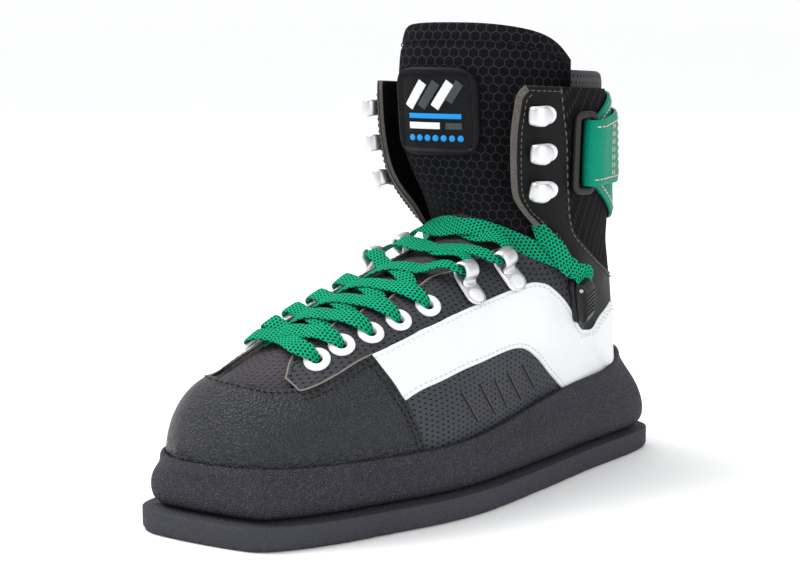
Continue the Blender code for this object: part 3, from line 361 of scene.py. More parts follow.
# columns: u and v at the start, u and v at the end, half width, height (below 0: a trough)
CREASES = (
    (3.02, 7.05, 3.22, 7.10, 3.6, 0.9), (3.0, 7.75, 3.25, 7.75, 3.8, 1.0),
    (3.0, 8.45, 3.28, 8.40, 3.8, 1.0), (3.0, 9.20, 3.3, 9.10, 4.0, 0.9),
    (2.05, 11.6, 2.75, 11.9, 6.0, -0.7), (1.9, 12.6, 1.2, 12.2, 7.0, -0.6),
    (2.3, 15.9, 1.5, 16.6, 6.0, -0.7), (2.5, 17.0, 1.7, 17.05, 5.0, 0.6),
    (2.9, 16.4, 2.2, 16.0, 5.0, -0.5), (1.6, 18.2, 0.9, 18.4, 9.0, -0.9),
    (2.3, 8.9, 1.5, 8.3, 8.0, 0.5), (3.0, 5.6, 2.2, 6.6, 5.0, -0.5),
)
lean = grid_normals(FINE, FINE_CLOSED)
relief = np.zeros(FINE.shape[:2])
for u0, v0, u1, v1, wide, high in CREASES:
    for mirror in (False, True):
        ends = np.array(((u0, v0), (u1, v1)))
        if mirror:
            ends[:, 0] = 8.0 - ends[:, 0]
        line = bilinear(FINE, ends[0] + np.linspace(0.0, 1.0, 9)[:, None] * (ends[1] - ends[0]))
        far = np.min([np.linalg.norm(FINE - point, axis=2) for point in line], axis=0)
        relief += high * np.exp(-(far / wide) ** 2)
FINE = FINE + relief[..., None] * lean
LEAN = grid_normals(FINE, FINE_CLOSED)
# the patterns are spaced by running lengths over the skin
SPREAD = running_lengths(FINE)
print("skin grid:", FINE.shape[:2], "deepest crease", round(float(relief.min()), 2), "mm")


# %% Places on the skin
def skin(places, lift=0.0):
    """Points over the skin at places (u, v), and the normals there."""
    normal = unit(bilinear(LEAN, places))
    return bilinear(FINE, places) + np.reshape(lift, (-1, 1)) * normal, normal


def slopes(places):
    """Directions of growing u and growing v, in millimetres for each unit."""
    step = 0.02
    result = []
    for move in ((step, 0.0), (0.0, step)):
        ahead = np.clip(places + np.array(move), (0.0, -1.0), (8.0, 22.0))
        behind = np.clip(places - np.array(move), (0.0, -1.0), (8.0, 22.0))
        span = np.maximum((ahead - behind) @ np.sign(move), step / 2)
        result.append((bilinear(FINE, ahead) - bilinear(FINE, behind)) / span[:, None])
    return result


def shift(places, distance, closed=False):
    """Move a line of places sideways over the skin; positive is to the left seen from outside."""
    places = np.asarray(places, float)
    points, normal = skin(places)
    aside = unit(np.cross(normal, headings(points, closed))) * distance
    by_u, by_v = slopes(places)
    uu, uv, vv = (by_u * by_u).sum(1), (by_u * by_v).sum(1), (by_v * by_v).sum(1)
    au, av = (by_u * aside).sum(1), (by_v * aside).sum(1)
    area = np.maximum(uu * vv - uv * uv, 1e-6)
    return places + np.stack(((au * vv - av * uv) / area, (av * uu - au * uv) / area), axis=1)


def run(table, step=1.6):
    """Smooth line through a table of places, with an even step in millimetres."""
    table = np.asarray(table, float)
    curve = spline(chord_knots(skin(table)[0]), table)
    fine = curve(np.linspace(0.0, chord_knots(skin(table)[0])[-1], 40 * len(table)))
    fine[:, 0] = np.clip(fine[:, 0], 0.0, 8.0)
    length = chord_knots(skin(fine)[0])
    count = max(int(length[-1] / step), 2)
    even = np.linspace(0.0, length[-1], count + 1)
    return trace(even, length, fine)


def other_side(places):
    """The same places on the inside of the foot."""
    return np.stack((8.0 - np.asarray(places)[:, 0], np.asarray(places)[:, 1]), axis=1)


def sided(places, outside):
    """Places of the outside half, mirrored where the inside is wanted."""
    return np.asarray(places) if outside else other_side(places)


def both_halves(edges):
    """Edges of the outside half, then those of the inside half in the other direction."""
    return edges + [other_side(edge)[::-1] for edge in edges[::-1]]


def least(miss):
    """Place (u, v) of the smallest value of a table on the fine grid."""
    i, j = np.unravel_index(np.argmin(miss), miss.shape)
    return FINE_U[j], FINE_V[i]


def seek(station, outside, side=None, height=None):
    """Place (u, v) on the skin at a station and a side or a height."""
    axis = 2 if side is None else 0
    target = np.array((HEEL_Y - station, height if side is None else side))
    miss = np.linalg.norm(FINE[..., [1, axis]] - target, axis=2)
    miss[:, (FINE_U <= 4.0) != outside] = np.inf
    if side is not None:
        miss[FINE_V > 12.0] = np.inf
    found = np.array((least(miss),))
    for _ in range(4):
        gap = target - skin(found)[0][0, [1, axis]]
        by_u, by_v = slopes(found)
        turn = np.array((by_u[0, [1, axis]], by_v[0, [1, axis]])).T
        found = found + np.clip(np.linalg.solve(turn, gap), -0.1, 0.1)
    return found[0]


def throat_middle(station):
    """Side of the throat's middle line at a station."""
    rows = np.array([row[:3] for row in SECTIONS[:12]])
    return float(np.interp(station, rows[::-1, 0], rows[::-1, 2]))


print("top of the instep:", np.round(skin([(4.0, 9.0)])[0][0], 1))

# %% [markdown]
# ## Turning points into pieces
# Every piece ends as one mesh in metres. It could be built with operators, but plain lists of
# points and faces are quicker and never depend on what is selected. Faces are turned outwards,
# shaded smooth and kept sharp only where two faces meet at a real edge.

# %% Meshes
SHARP = math.radians(42.0)


def show(name, data, spot_at=(0.0, 0.0, 0.0), looking=None):
    """Put a mesh, a lamp or a camera into the scene, looking along a direction where one is given."""
    thing = bpy.data.objects.new(name, data)
    thing.location = Vector(spot_at)
    if looking is not None:
        thing.rotation_euler = Vector(looking).to_track_quat("-Z", "Y").to_euler()
    bpy.context.scene.collection.objects.link(thing)
    return thing


def piece(name, points, faces, looks, replaces=(), uv=None, face_looks=None):
    """Make a mesh piece from points in millimetres and hang it on the shoe's body."""
    mesh = bpy.data.meshes.new(name)
    mesh.from_pydata(((np.asarray(points) - CENTRE) * MM).tolist(), [], faces)
    for look in looks:
        mesh.materials.append(look)
    if face_looks is not None:
        mesh.polygons.foreach_set("material_index", np.asarray(face_looks, np.int32))
    if uv is not None:
        corners = np.zeros(len(mesh.loops), np.int32)
        mesh.loops.foreach_get("vertex_index", corners)
        layer = mesh.uv_layers.new(name="spread")
        layer.data.foreach_set("uv", np.asarray(uv, np.float32)[corners].ravel())
    shape = bmesh.new()
    shape.from_mesh(mesh)
    bmesh.ops.recalc_face_normals(shape, faces=shape.faces)
    shape.to_mesh(mesh)
    shape.free()
    mesh.shade_smooth()
    mesh.set_sharp_from_angle(angle=SHARP)
    thing = show(name, mesh)
    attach(thing, "root")
    if replaces:
        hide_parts(*replaces)
    return thing


def add(name, made, look, replaces=()):
    """Make a piece of one look from its points, faces and spread."""
    points, faces, uv = made
    return piece(name, points, faces, [LOOK[look]], replaces, uv)


print("pieces can be hung on the shoe")


# %% Faces, turned shapes and bands
def gather(parts):
    """Join (points, faces, uv) triples into one."""
    points, faces, uv, start = [], [], [], 0
    for part_points, part_faces, part_uv in parts:
        points.append(part_points)
        uv.append(part_uv)
        faces += [tuple(k + start for k in face) for face in part_faces]
        start += len(part_points)
    return np.vstack(points), faces, np.vstack(uv)


def grid_faces(rows, columns, start=0, wrap=False):
    """Quads of a grid of points; wrap joins the last column to the first."""
    faces = []
    for i in range(rows - 1):
        for j in range(columns if wrap else columns - 1):
            n = (j + 1) % columns
            a = start + i * columns
            faces.append((a + j, a + n, a + columns + n, a + columns + j))
    return faces


def sheet_faces(rows, columns):
    """Faces of two grids, one over the other, closed round their rim."""
    total = rows * columns
    faces = grid_faces(rows, columns) + [face[::-1] for face in grid_faces(rows, columns, total)]
    rim = list(range(columns)) + [i * columns + columns - 1 for i in range(1, rows)]
    rim += [total - columns + j for j in range(columns - 2, -1, -1)]
    rim += [i * columns for i in range(rows - 2, 0, -1)]
    return faces + [(a, total + a, total + b, b) for a, b in zip(rim, rim[1:] + rim[:1])]


def rings(loops, closed=False, uv=None):
    """Skin over closed loops of equal length, with both ends filled unless they meet."""
    count = len(loops[0])
    faces = grid_faces(len(loops), count, wrap=True)
    if closed:
        last = (len(loops) - 1) * count
        faces += [(last + j, last + (j + 1) % count, (j + 1) % count, j) for j in range(count)]
    else:
        faces += [tuple(range(count)), tuple((len(loops) - 1) * count + j for j in range(count))]
    points = np.vstack(loops)
    return points, faces, np.zeros((len(points), 2)) if uv is None else uv


def full_turn(sides):
    """Angles in even steps round a circle."""
    return np.arange(sides) * 2 * math.pi / sides


def turned(profile, origin, along, across, normal, sides=28):
    """Turn a profile of (radius, height) about the normal."""
    turn = full_turn(sides)
    round_ = np.outer(np.cos(turn), along) + np.outer(np.sin(turn), across)
    return [origin + radius * round_ + height * normal for radius, height in profile]


def ribbon(points, across, wide, thick, sides=12, closed=False, square=2.6):
    """Flat band along points; across is its breadth's direction, and wide and thick its sizes."""
    points = np.asarray(points, float)
    along = unit(headings(points, closed))
    across = np.broadcast_to(across, points.shape)
    across = unit(across - along * (across * along).sum(1, keepdims=True))
    rise = np.cross(along, across)
    wide = np.broadcast_to(wide, len(points)) / 2
    thick = np.broadcast_to(thick, len(points)) / 2
    turn = full_turn(sides)
    a = np.sign(np.cos(turn)) * np.abs(np.cos(turn)) ** (2 / square)
    b = np.sign(np.sin(turn)) * np.abs(np.sin(turn)) ** (2 / square)
    loops = [point + np.outer(a * w, side) + np.outer(b * t, up)
             for point, side, up, w, t in zip(points, across, rise, wide, thick)]
    run_length = chord_knots(points) / 10
    uv = np.array([(a[k] * w / 10, length + (5.0 if b[k] < 0 else 0.0))
                   for w, length in zip(wide, run_length) for k in range(sides)])
    return rings(loops, closed, uv)


def flat_band(points, normals, wide, thick, sides=12, square=2.6):
    """Flat band that lies along points on a surface with these normals."""
    return ribbon(points, np.cross(normals, headings(points)), wide, thick, sides, square=square)


print("mesh helpers are ready")

# %% [markdown]
# ## Finishes
# Leather grain, pebbled rubber, punched holes and cloth turn up on several pieces. Image textures
# would tie them to a size; node groups stay sharp at any distance and are built once. A group only
# puts out masks, heights and tones. The Principled shader stays in each material, where its own
# colour, gloss and bump strength are set.


# %% Node helpers
def node(tree, kind, inputs=(), **settings):
    """Add a node; inputs are (socket name or number, value or socket) pairs."""
    made = tree.nodes.new(kind)
    for key, value in settings.items():
        setattr(made, key, value)
    for key, value in inputs:
        if isinstance(value, bpy.types.NodeSocket):
            tree.links.new(value, made.inputs[key])
        else:
            made.inputs[key].default_value = value
    return made


def calc(tree, operation, a, b=0.0):
    """One arithmetic step on numbers or sockets."""
    return node(tree, "ShaderNodeMath", ((0, a), (1, b)), operation=operation).outputs[0]


def fade(tree, value, low, high, start=0.0, stop=1.0):
    """Smooth step of a value between low and high."""
    limits = (("Value", value), ("From Min", low), ("From Max", high), ("To Min", start), ("To Max", stop))
    return node(tree, "ShaderNodeMapRange", limits, interpolation_type="SMOOTHSTEP").outputs["Result"]


def group(name, inputs, outputs):
    """Empty node group with float inputs (name, value) and float outputs."""
    tree = bpy.data.node_groups.new(name, "ShaderNodeTree")
    for label, value in inputs:
        tree.interface.new_socket(label, in_out="INPUT", socket_type="NodeSocketFloat").default_value = value
    for label in outputs:
        tree.interface.new_socket(label, in_out="OUTPUT", socket_type="NodeSocketFloat")
    return tree, tree.nodes.new("NodeGroupInput").outputs, tree.nodes.new("NodeGroupOutput").inputs


def spread_axes(tree):
    """The two running lengths over the skin, in centimetres."""
    uv = node(tree, "ShaderNodeUVMap", uv_map="spread").outputs["UV"]
    split = node(tree, "ShaderNodeSeparateXYZ", (("Vector", uv),))
    return split.outputs["X"], split.outputs["Y"]


def object_place(tree):
    """Place in the shoe's frame, in metres."""
    return node(tree, "ShaderNodeTexCoord").outputs["Object"]


def cells(tree, per_metre, feature="F1"):
    """Distance in a pattern of cells, with a number of them to the metre."""
    inputs = (("Vector", object_place(tree)), ("Scale", per_metre))
    return node(tree, "ShaderNodeTexVoronoi", inputs, feature=feature).outputs["Distance"]


def noise(tree, per_metre):
    """Uneven value from 0 to 1, with a number of waves to the metre."""
    inputs = (("Vector", object_place(tree)), ("Scale", per_metre), ("Detail", 3.0))
    return node(tree, "ShaderNodeTexNoise", inputs).outputs["Fac"]


print("node helpers are ready")

# %% Leather grain and pebbles
# Grain: shallow cells with creased borders, and a slow change of tone over the hide
GRAIN, value, out = group("leather_grain", (("Cells", 700.0),), ("Height", "Tone"))
border = cells(GRAIN, value["Cells"], "DISTANCE_TO_EDGE")
plateau = fade(GRAIN, border, 0.0, 0.28)
fibre = noise(GRAIN, 2600.0)
GRAIN.links.new(calc(GRAIN, "ADD", plateau, calc(GRAIN, "MULTIPLY", fibre, 0.35)), out["Height"])
GRAIN.links.new(noise(GRAIN, 38.0), out["Tone"])

# Pebble: round bumps with fine sand between them; the light specks on the sand are partly flecks of the grain
# and partly painted glints
PEBBLE, value, out = group("pebble", (("Cells", 900.0),), ("Height", "Speck And Glint", "Tone"))
bump = fade(PEBBLE, cells(PEBBLE, value["Cells"]), 0.15, 0.75, 1.0, 0.0)
sand = noise(PEBBLE, 3200.0)
PEBBLE.links.new(calc(PEBBLE, "ADD", bump, calc(PEBBLE, "MULTIPLY", sand, 0.6)), out["Height"])
# specks: a mask for painted glints, partly flecks of the grain
PEBBLE.links.new(fade(PEBBLE, sand, 0.52, 0.74), out["Speck And Glint"])
PEBBLE.links.new(noise(PEBBLE, 22.0), out["Tone"])
print("groups:", GRAIN.name, PEBBLE.name)

# %% Punched holes, hexagon net, ribs and marks
# Holes: staggered rows of slanted ovals, sizes in centimetres
HOLES, value, out = group("punched_holes", (("Pitch U", 0.3), ("Pitch V", 0.5), ("Long U", 0.1),
                                            ("Long V", 0.2), ("Slant", 0.0)), ("Mask",))
x, y = spread_axes(HOLES)
x = calc(HOLES, "ADD", x, calc(HOLES, "MULTIPLY", y, value["Slant"]))
row = calc(HOLES, "DIVIDE", y, value["Pitch V"])
odd = calc(HOLES, "MODULO", calc(HOLES, "FLOOR", row), 2.0)
column = calc(HOLES, "ADD", calc(HOLES, "DIVIDE", x, value["Pitch U"]),
              calc(HOLES, "MULTIPLY", calc(HOLES, "ABSOLUTE", odd), 0.5))
reach = []
for place_in, pitch, long in ((column, "Pitch U", "Long U"), (row, "Pitch V", "Long V")):
    centred = calc(HOLES, "SUBTRACT", calc(HOLES, "FRACT", place_in), 0.5)
    ratio = calc(HOLES, "DIVIDE", calc(HOLES, "MULTIPLY", value[pitch], 2.0), value[long])
    reach.append(calc(HOLES, "POWER", calc(HOLES, "MULTIPLY", centred, ratio), 2.0))
HOLES.links.new(fade(HOLES, calc(HOLES, "ADD", *reach), 0.55, 1.15, 1.0, 0.0), out["Mask"])

# Net: thin lines round hexagons, by the nearer of two lattices of hexagon middles
NET, value, out = group("hexagon_net", (("Size", 0.72), ("Line", 0.055)), ("Mask",))
x, y = spread_axes(NET)
across_gap = []
for half in (0.0, 0.5):
    parts = []
    for axis, pitch in ((x, 1.0), (y, math.sqrt(3.0))):
        span = calc(NET, "MULTIPLY", value["Size"], pitch)
        cell = calc(NET, "ADD", calc(NET, "DIVIDE", axis, span), half + 200.0)
        centred = calc(NET, "SUBTRACT", calc(NET, "FRACT", cell), 0.5)
        parts.append(calc(NET, "ABSOLUTE", calc(NET, "MULTIPLY", centred, span)))
    slanted = calc(NET, "ADD", calc(NET, "MULTIPLY", parts[0], 0.5),
                   calc(NET, "MULTIPLY", parts[1], math.sqrt(3.0) / 2))
    across_gap.append(calc(NET, "MAXIMUM", parts[0], slanted))
nearest = calc(NET, "MINIMUM", *across_gap)
rim = calc(NET, "SUBTRACT", calc(NET, "MULTIPLY", value["Size"], 0.5), nearest)
NET.links.new(fade(NET, rim, calc(NET, "MULTIPLY", value["Line"], 0.35), value["Line"], 1.0, 0.0),
              out["Mask"])

# Ribs: two crossing waves, for cloth and webbing
RIBS, value, out = group("cloth_ribs", (("Pitch U", 0.1), ("Pitch V", 0.1)), ("Height", "Tone"))
x, y = spread_axes(RIBS)
waves = []
for axis, pitch in ((x, "Pitch U"), (y, "Pitch V")):
    waves.append(calc(RIBS, "SINE", calc(RIBS, "MULTIPLY", calc(RIBS, "DIVIDE", axis, value[pitch]),
                                         2 * math.pi)))
RIBS.links.new(calc(RIBS, "MULTIPLY_ADD", calc(RIBS, "MULTIPLY", *waves), 0.5), out["Height"])
RIBS.links.new(noise(RIBS, 60.0), out["Tone"])

# Marks: faint traces of handling on hard finishes, and a fine unevenness
MARKS, value, out = group("handling_marks", (("Waves", 190.0), ("Fine Waves", 1500.0)), ("Tone", "Height"))
MARKS.links.new(noise(MARKS, value["Waves"]), out["Tone"])
MARKS.links.new(noise(MARKS, value["Fine Waves"]), out["Height"])
print("groups:", HOLES.name, NET.name, RIBS.name, MARKS.name)


# %% Shader helpers
def base_look(name, colour, rough, metallic=0.0, coat=0.0, specular=0.5):
    """New material, returned with its node tree and its Principled shader."""
    look = bpy.data.materials.new(name)
    look.use_nodes = True
    shader = look.node_tree.nodes["Principled BSDF"]
    values = (("Base Color", (*colour, 1.0)), ("Roughness", rough), ("Metallic", metallic),
              ("Coat Weight", coat), ("Coat Roughness", 0.3), ("Specular IOR Level", specular))
    for key, value in values:
        shader.inputs[key].default_value = value
    look.diffuse_color = (*colour, 1.0)
    return look, look.node_tree, shader


def use(tree, kind, inputs=()):
    """Place a node group in a material."""
    return node(tree, "ShaderNodeGroup", inputs, node_tree=kind).outputs


def emboss(tree, shader, height, depth):
    """Bump by a height, with a depth in millimetres; a second bump lies over the first."""
    inputs = [("Height", height), ("Distance", depth * MM), ("Strength", 1.0)]
    if shader.inputs["Normal"].is_linked:
        inputs.append(("Normal", shader.inputs["Normal"].links[0].from_socket))
    made = node(tree, "ShaderNodeBump", inputs)
    tree.links.new(made.outputs["Normal"], shader.inputs["Normal"])


def blend(tree, mask, dark, light):
    """Colour between two, by a mask; each may be a colour or a socket."""
    ends = [end if isinstance(end, bpy.types.NodeSocket) else (*end, 1.0) for end in (dark, light)]
    inputs = (("Factor", mask), *zip((6, 7), ends))
    return node(tree, "ShaderNodeMix", inputs, data_type="RGBA").outputs[2]


def shade(colour, by):
    """A colour made lighter or darker."""
    return tuple(min(c * by, 1.0) for c in colour)


print("shader helpers are ready")

# %% Kinds of finish
HOLE_DEPTH = 0.5
MOTTLE = 0.12


def leather(name, colour, rough, grain=700.0, depth=0.12, coat=0.0, holes=None, hole_colour=None,
            spread=0.25, specular=0.14):
    """Leather with its grain, a slow change of tone and, where given, punched holes."""
    look, tree, shader = base_look(name, colour, rough, coat=coat, specular=specular)
    hide = use(tree, GRAIN, (("Cells", grain),))
    tone = blend(tree, hide["Tone"], shade(colour, 1 - spread), shade(colour, 1 + spread))
    tree.links.new(fade(tree, hide["Height"], 0.0, 1.3, rough + 0.08, rough - 0.05),
                   shader.inputs["Roughness"])
    if holes:
        mask = use(tree, HOLES, holes)["Mask"]
        tone = blend(tree, mask, tone, hole_colour)
        emboss(tree, shader, calc(tree, "SUBTRACT", 1.0, mask), HOLE_DEPTH)
    emboss(tree, shader, hide["Height"], depth)
    tree.links.new(tone, shader.inputs["Base Color"])
    return look


def moulded(name, colour, rough, pebble, depth, speck_and_glint, specular=0.16):
    """Pebbled rubber, foam or coated leather with lighter specks, partly flecks of the grain and partly
    painted glints.
    """
    look, tree, shader = base_look(name, colour, rough, specular=specular)
    skin_of = use(tree, PEBBLE, (("Cells", pebble),))
    tone = blend(tree, skin_of["Tone"], shade(colour, 0.8), shade(colour, 1.25))
    # the specks lighten the base colour as painted glints
    tree.links.new(blend(tree, skin_of["Speck And Glint"], tone, speck_and_glint), shader.inputs["Base Color"])
    tree.links.new(fade(tree, skin_of["Height"], 0.1, 1.2, rough + 0.1, rough - 0.08),
                   shader.inputs["Roughness"])
    emboss(tree, shader, skin_of["Height"], depth)
    return look


def cloth(name, colour, pitch, depth, rough=0.9, net=None, net_colour=None, holes=None, hole_colour=None):
    """Ribbed cloth with painted shade in the troughs of its ribs, and a net of lines or rows of open spots
    where given.
    """
    look, tree, shader = base_look(name, colour, rough, specular=0.06)
    ribs = use(tree, RIBS, (("Pitch U", pitch[0]), ("Pitch V", pitch[1])))
    tone = blend(tree, ribs["Tone"], shade(colour, 0.7), shade(colour, 1.35))
    # the troughs between the ribs are darkened: painted shade
    tone = blend(tree, fade(tree, ribs["Height"], 0.2, 1.0), shade(colour, 0.6), tone)
    if net:
        mask = use(tree, NET, net)["Mask"]
        # the net's lines are dimmed in the troughs of the ribs: painted shade
        tone = blend(tree, calc(tree, "MULTIPLY", mask, fade(tree, ribs["Height"], 0.1, 0.9, 0.45, 1.0)),
                     tone, net_colour)
    if holes:
        mask = use(tree, HOLES, holes)["Mask"]
        tone = blend(tree, mask, tone, hole_colour)
        emboss(tree, shader, mask, -0.3)
    emboss(tree, shader, ribs["Height"], depth)
    tree.links.new(tone, shader.inputs["Base Color"])
    return look


def plain(name, colour, rough, metallic=0.0, coat=0.0, specular=0.3):
    """Smooth hard finish with faint handling marks."""
    look, tree, shader = base_look(name, colour, rough, metallic, coat, specular)
    marks = use(tree, MARKS)
    tree.links.new(fade(tree, marks["Tone"], 0.3, 0.7, rough * (1 - MOTTLE), rough * (1 + 2 * MOTTLE)),
                   shader.inputs["Roughness"])
    tone = blend(tree, marks["Tone"], shade(colour, 0.94), shade(colour, 1.05))
    tree.links.new(tone, shader.inputs["Base Color"])
    emboss(tree, shader, marks["Height"], 0.02)
    return look


print("kinds of finish:", leather.__name__, moulded.__name__, cloth.__name__, plain.__name__)

# %% Finishes of the shoe
HOLE_BLACK = (0.005, 0.005, 0.006)
FACE_HOLES = (("Pitch U", 0.26), ("Pitch V", 0.34), ("Long U", 0.085), ("Long V", 0.17), ("Slant", 0.35))
MESH_DASHES = (("Pitch U", 0.40), ("Pitch V", 0.55), ("Long U", 0.13), ("Long V", 0.30), ("Slant", 0.0))
PORES = (("Pitch U", 0.28), ("Pitch V", 0.34), ("Long U", 0.12), ("Long V", 0.16), ("Slant", 0.0))
LACE_DOTS = (("Pitch U", 0.188), ("Pitch V", 0.205), ("Long U", 0.118), ("Long V", 0.13), ("Slant", 0.0))
# after name and colour: roughness, cells of the relief to the metre, its depth in millimetres and, for a
# moulded finish, the colour of its specks, which are partly painted glints; cloth has the pitch of its ribs
# in centimetres and their depth
LOOK = {
    "cuff": leather("cuff_leather", (0.0060, 0.0056, 0.0056), 0.5, 900.0, 0.06, specular=0.12),
    "facing": leather("facing_leather", (0.040, 0.041, 0.048), 0.52, 900.0, 0.05, holes=FACE_HOLES,
                      hole_colour=HOLE_BLACK),
    "quarter": leather("quarter_leather", (0.043, 0.0465, 0.056), 0.5, 900.0, 0.05, holes=FACE_HOLES,
                       hole_colour=HOLE_BLACK),
    "vamp": leather("tongue_leather", (0.043, 0.039, 0.046), 0.56, 900.0, 0.05, holes=FACE_HOLES,
                    hole_colour=(0.006, 0.005, 0.006)),
    "white": leather("white_leather", (0.79, 0.815, 0.82), 0.45, 1000.0, 0.07, coat=0.05, spread=0.02,
                     specular=0.2),
    "strap": leather("green_leather", (0.001, 0.225, 0.14), 0.5, 420.0, 0.16, spread=0.10, specular=0.08),
    # the light specks of the cap and the midsole paint the glints of their fine grain
    "cap": moulded("cap_leather", (0.0045, 0.0050, 0.0075), 0.36, 760.0, 0.42, (0.100, 0.106, 0.130),
                   specular=0.36),
    "midsole": moulded("midsole_foam", (0.0225, 0.0225, 0.0300), 0.60, 820.0, 0.60, (0.180, 0.180, 0.205)),
    "outsole": moulded("sole_rubber", (0.0425, 0.0430, 0.0530), 0.7, 620.0, 0.4, (0.080, 0.081, 0.092)),
    "raw": moulded("raw_edge_felt", (0.125, 0.112, 0.104), 0.95, 1500.0, 0.5, (0.27, 0.25, 0.23)),
    "tan": moulded("cut_leather_edge", (0.20, 0.175, 0.155), 0.9, 1500.0, 0.2, (0.34, 0.31, 0.28)),
    "lining": cloth("lining_cloth", (0.0075, 0.0075, 0.0085), (0.11, 0.11), 0.12),
    "mesh": cloth("cuff_mesh", (0.0095, 0.0095, 0.0105), (0.09, 0.09), 0.10, holes=MESH_DASHES,
                  hole_colour=(0.030, 0.030, 0.033)),
    "tongue": cloth("tongue_cloth", (0.0085, 0.0085, 0.0105), (0.085, 0.075), 0.14,
                    net=(("Size", 0.50), ("Line", 0.036)), net_colour=(0.038, 0.039, 0.047)),
    "spacer": cloth("spacer_mesh", (0.0085, 0.009, 0.0105), (0.22, 0.20), 0.30, holes=PORES,
                    hole_colour=(0.002, 0.002, 0.002)),
    "collar": leather("collar_cover", (0.04, 0.041, 0.045), 0.6, 900.0, 0.05, holes=PORES,
                      hole_colour=(0.009, 0.009, 0.010)),
    "footbed": cloth("footbed_cloth", (0.028, 0.03, 0.034), (0.16, 0.16), 0.12),
    "webbing": cloth("pull_webbing", (0.56, 0.62, 0.645), (0.9, 0.16), 0.25, rough=0.75),
    "lace": cloth("braided_lace", (0.002, 0.42, 0.205), (0.188, 0.205), 0.16, rough=0.8, holes=LACE_DOTS,
                  hole_colour=(0.010, 0.005, 0.004)),
    "hook": plain("hook_metal", (0.68, 0.68, 0.70), 0.38, metallic=0.85),
    "rivet": plain("rivet_enamel", (0.76, 0.76, 0.78), 0.35, coat=0.2),
    "eyelet": plain("eyelet_enamel", (0.83, 0.835, 0.84), 0.3, coat=0.3),
    "plastic": plain("black_plastic", (0.0165, 0.0145, 0.0155), 0.38),
    "steel": plain("pin_steel", (0.55, 0.55, 0.56), 0.25, metallic=1.0),
    "badge": plain("badge_rubber", (0.006, 0.0062, 0.0072), 0.55, specular=0.12),
    "badge_blue": plain("badge_blue", (0.003, 0.27, 0.70), 0.5),
    "badge_white": plain("badge_white", (0.80, 0.80, 0.81), 0.5),
    "badge_grey": plain("badge_grey", (0.045, 0.05, 0.055), 0.55),
    "hook_tape": moulded("hook_tape", (0.010, 0.009, 0.009), 0.95, 1100.0, 0.8, (0.03, 0.028, 0.028)),
    "thread_black": plain("black_thread", (0.011, 0.011, 0.0115), 0.6, specular=0.15),
    "thread_grey": plain("grey_thread", (0.105, 0.105, 0.11), 0.7, specular=0.15),
    "thread_white": plain("white_thread", (0.60, 0.62, 0.63), 0.6),
    "thread_pink": plain("pink_thread", (0.70, 0.47, 0.42), 0.6),
}
print("materials:", len(LOOK))

# %% [markdown]
# ## Cutting leather
# A shoemaker cuts panels flat, lays them on the last and sews them down. Here a panel is an outline
# of places on the skin. Its inside is filled with evenly spaced points and triangles, then lifted
# off the skin, given its thickness and a softened rim. A grid trimmed by Booleans would also work,
# but a triangulated outline keeps every edge crisp and follows any shape, with holes where needed.


# %% Panels
PANEL_UNDER = -0.1
HOLE_SIDES = 18


def area_seen(ring):
    """Signed area of a ring of places, positive when it runs anticlockwise seen from outside."""
    v, u = ring[:, 1], ring[:, 0]
    return 0.5 * float(np.sum(v * np.roll(u, -1) - np.roll(v, -1) * u))


def ring_of(*edges):
    """One closed ring from edges that follow each other, anticlockwise seen from outside."""
    ring = np.vstack([np.asarray(edge, float)[:-1] for edge in edges])
    return ring if area_seen(ring) > 0 else ring[::-1]


def inside(ring, points):
    """Which points lie inside a ring, all in one plane."""
    start, stop = ring, np.roll(ring, -1, axis=0)
    x, y = points[:, 0][:, None], points[:, 1][:, None]
    crosses = (start[:, 1] > y) != (stop[:, 1] > y)
    with np.errstate(divide="ignore", invalid="ignore"):
        at = start[:, 0] + (y - start[:, 1]) / (stop[:, 1] - start[:, 1]) * (stop[:, 0] - start[:, 0])
    return (np.sum(crosses & (x < at), axis=1) % 2) == 1


def within(outlines, points):
    """Which points lie inside the first outline and outside all others."""
    keep = inside(outlines[0], points)
    for ring in outlines[1:]:
        keep &= ~inside(ring, points)
    return keep


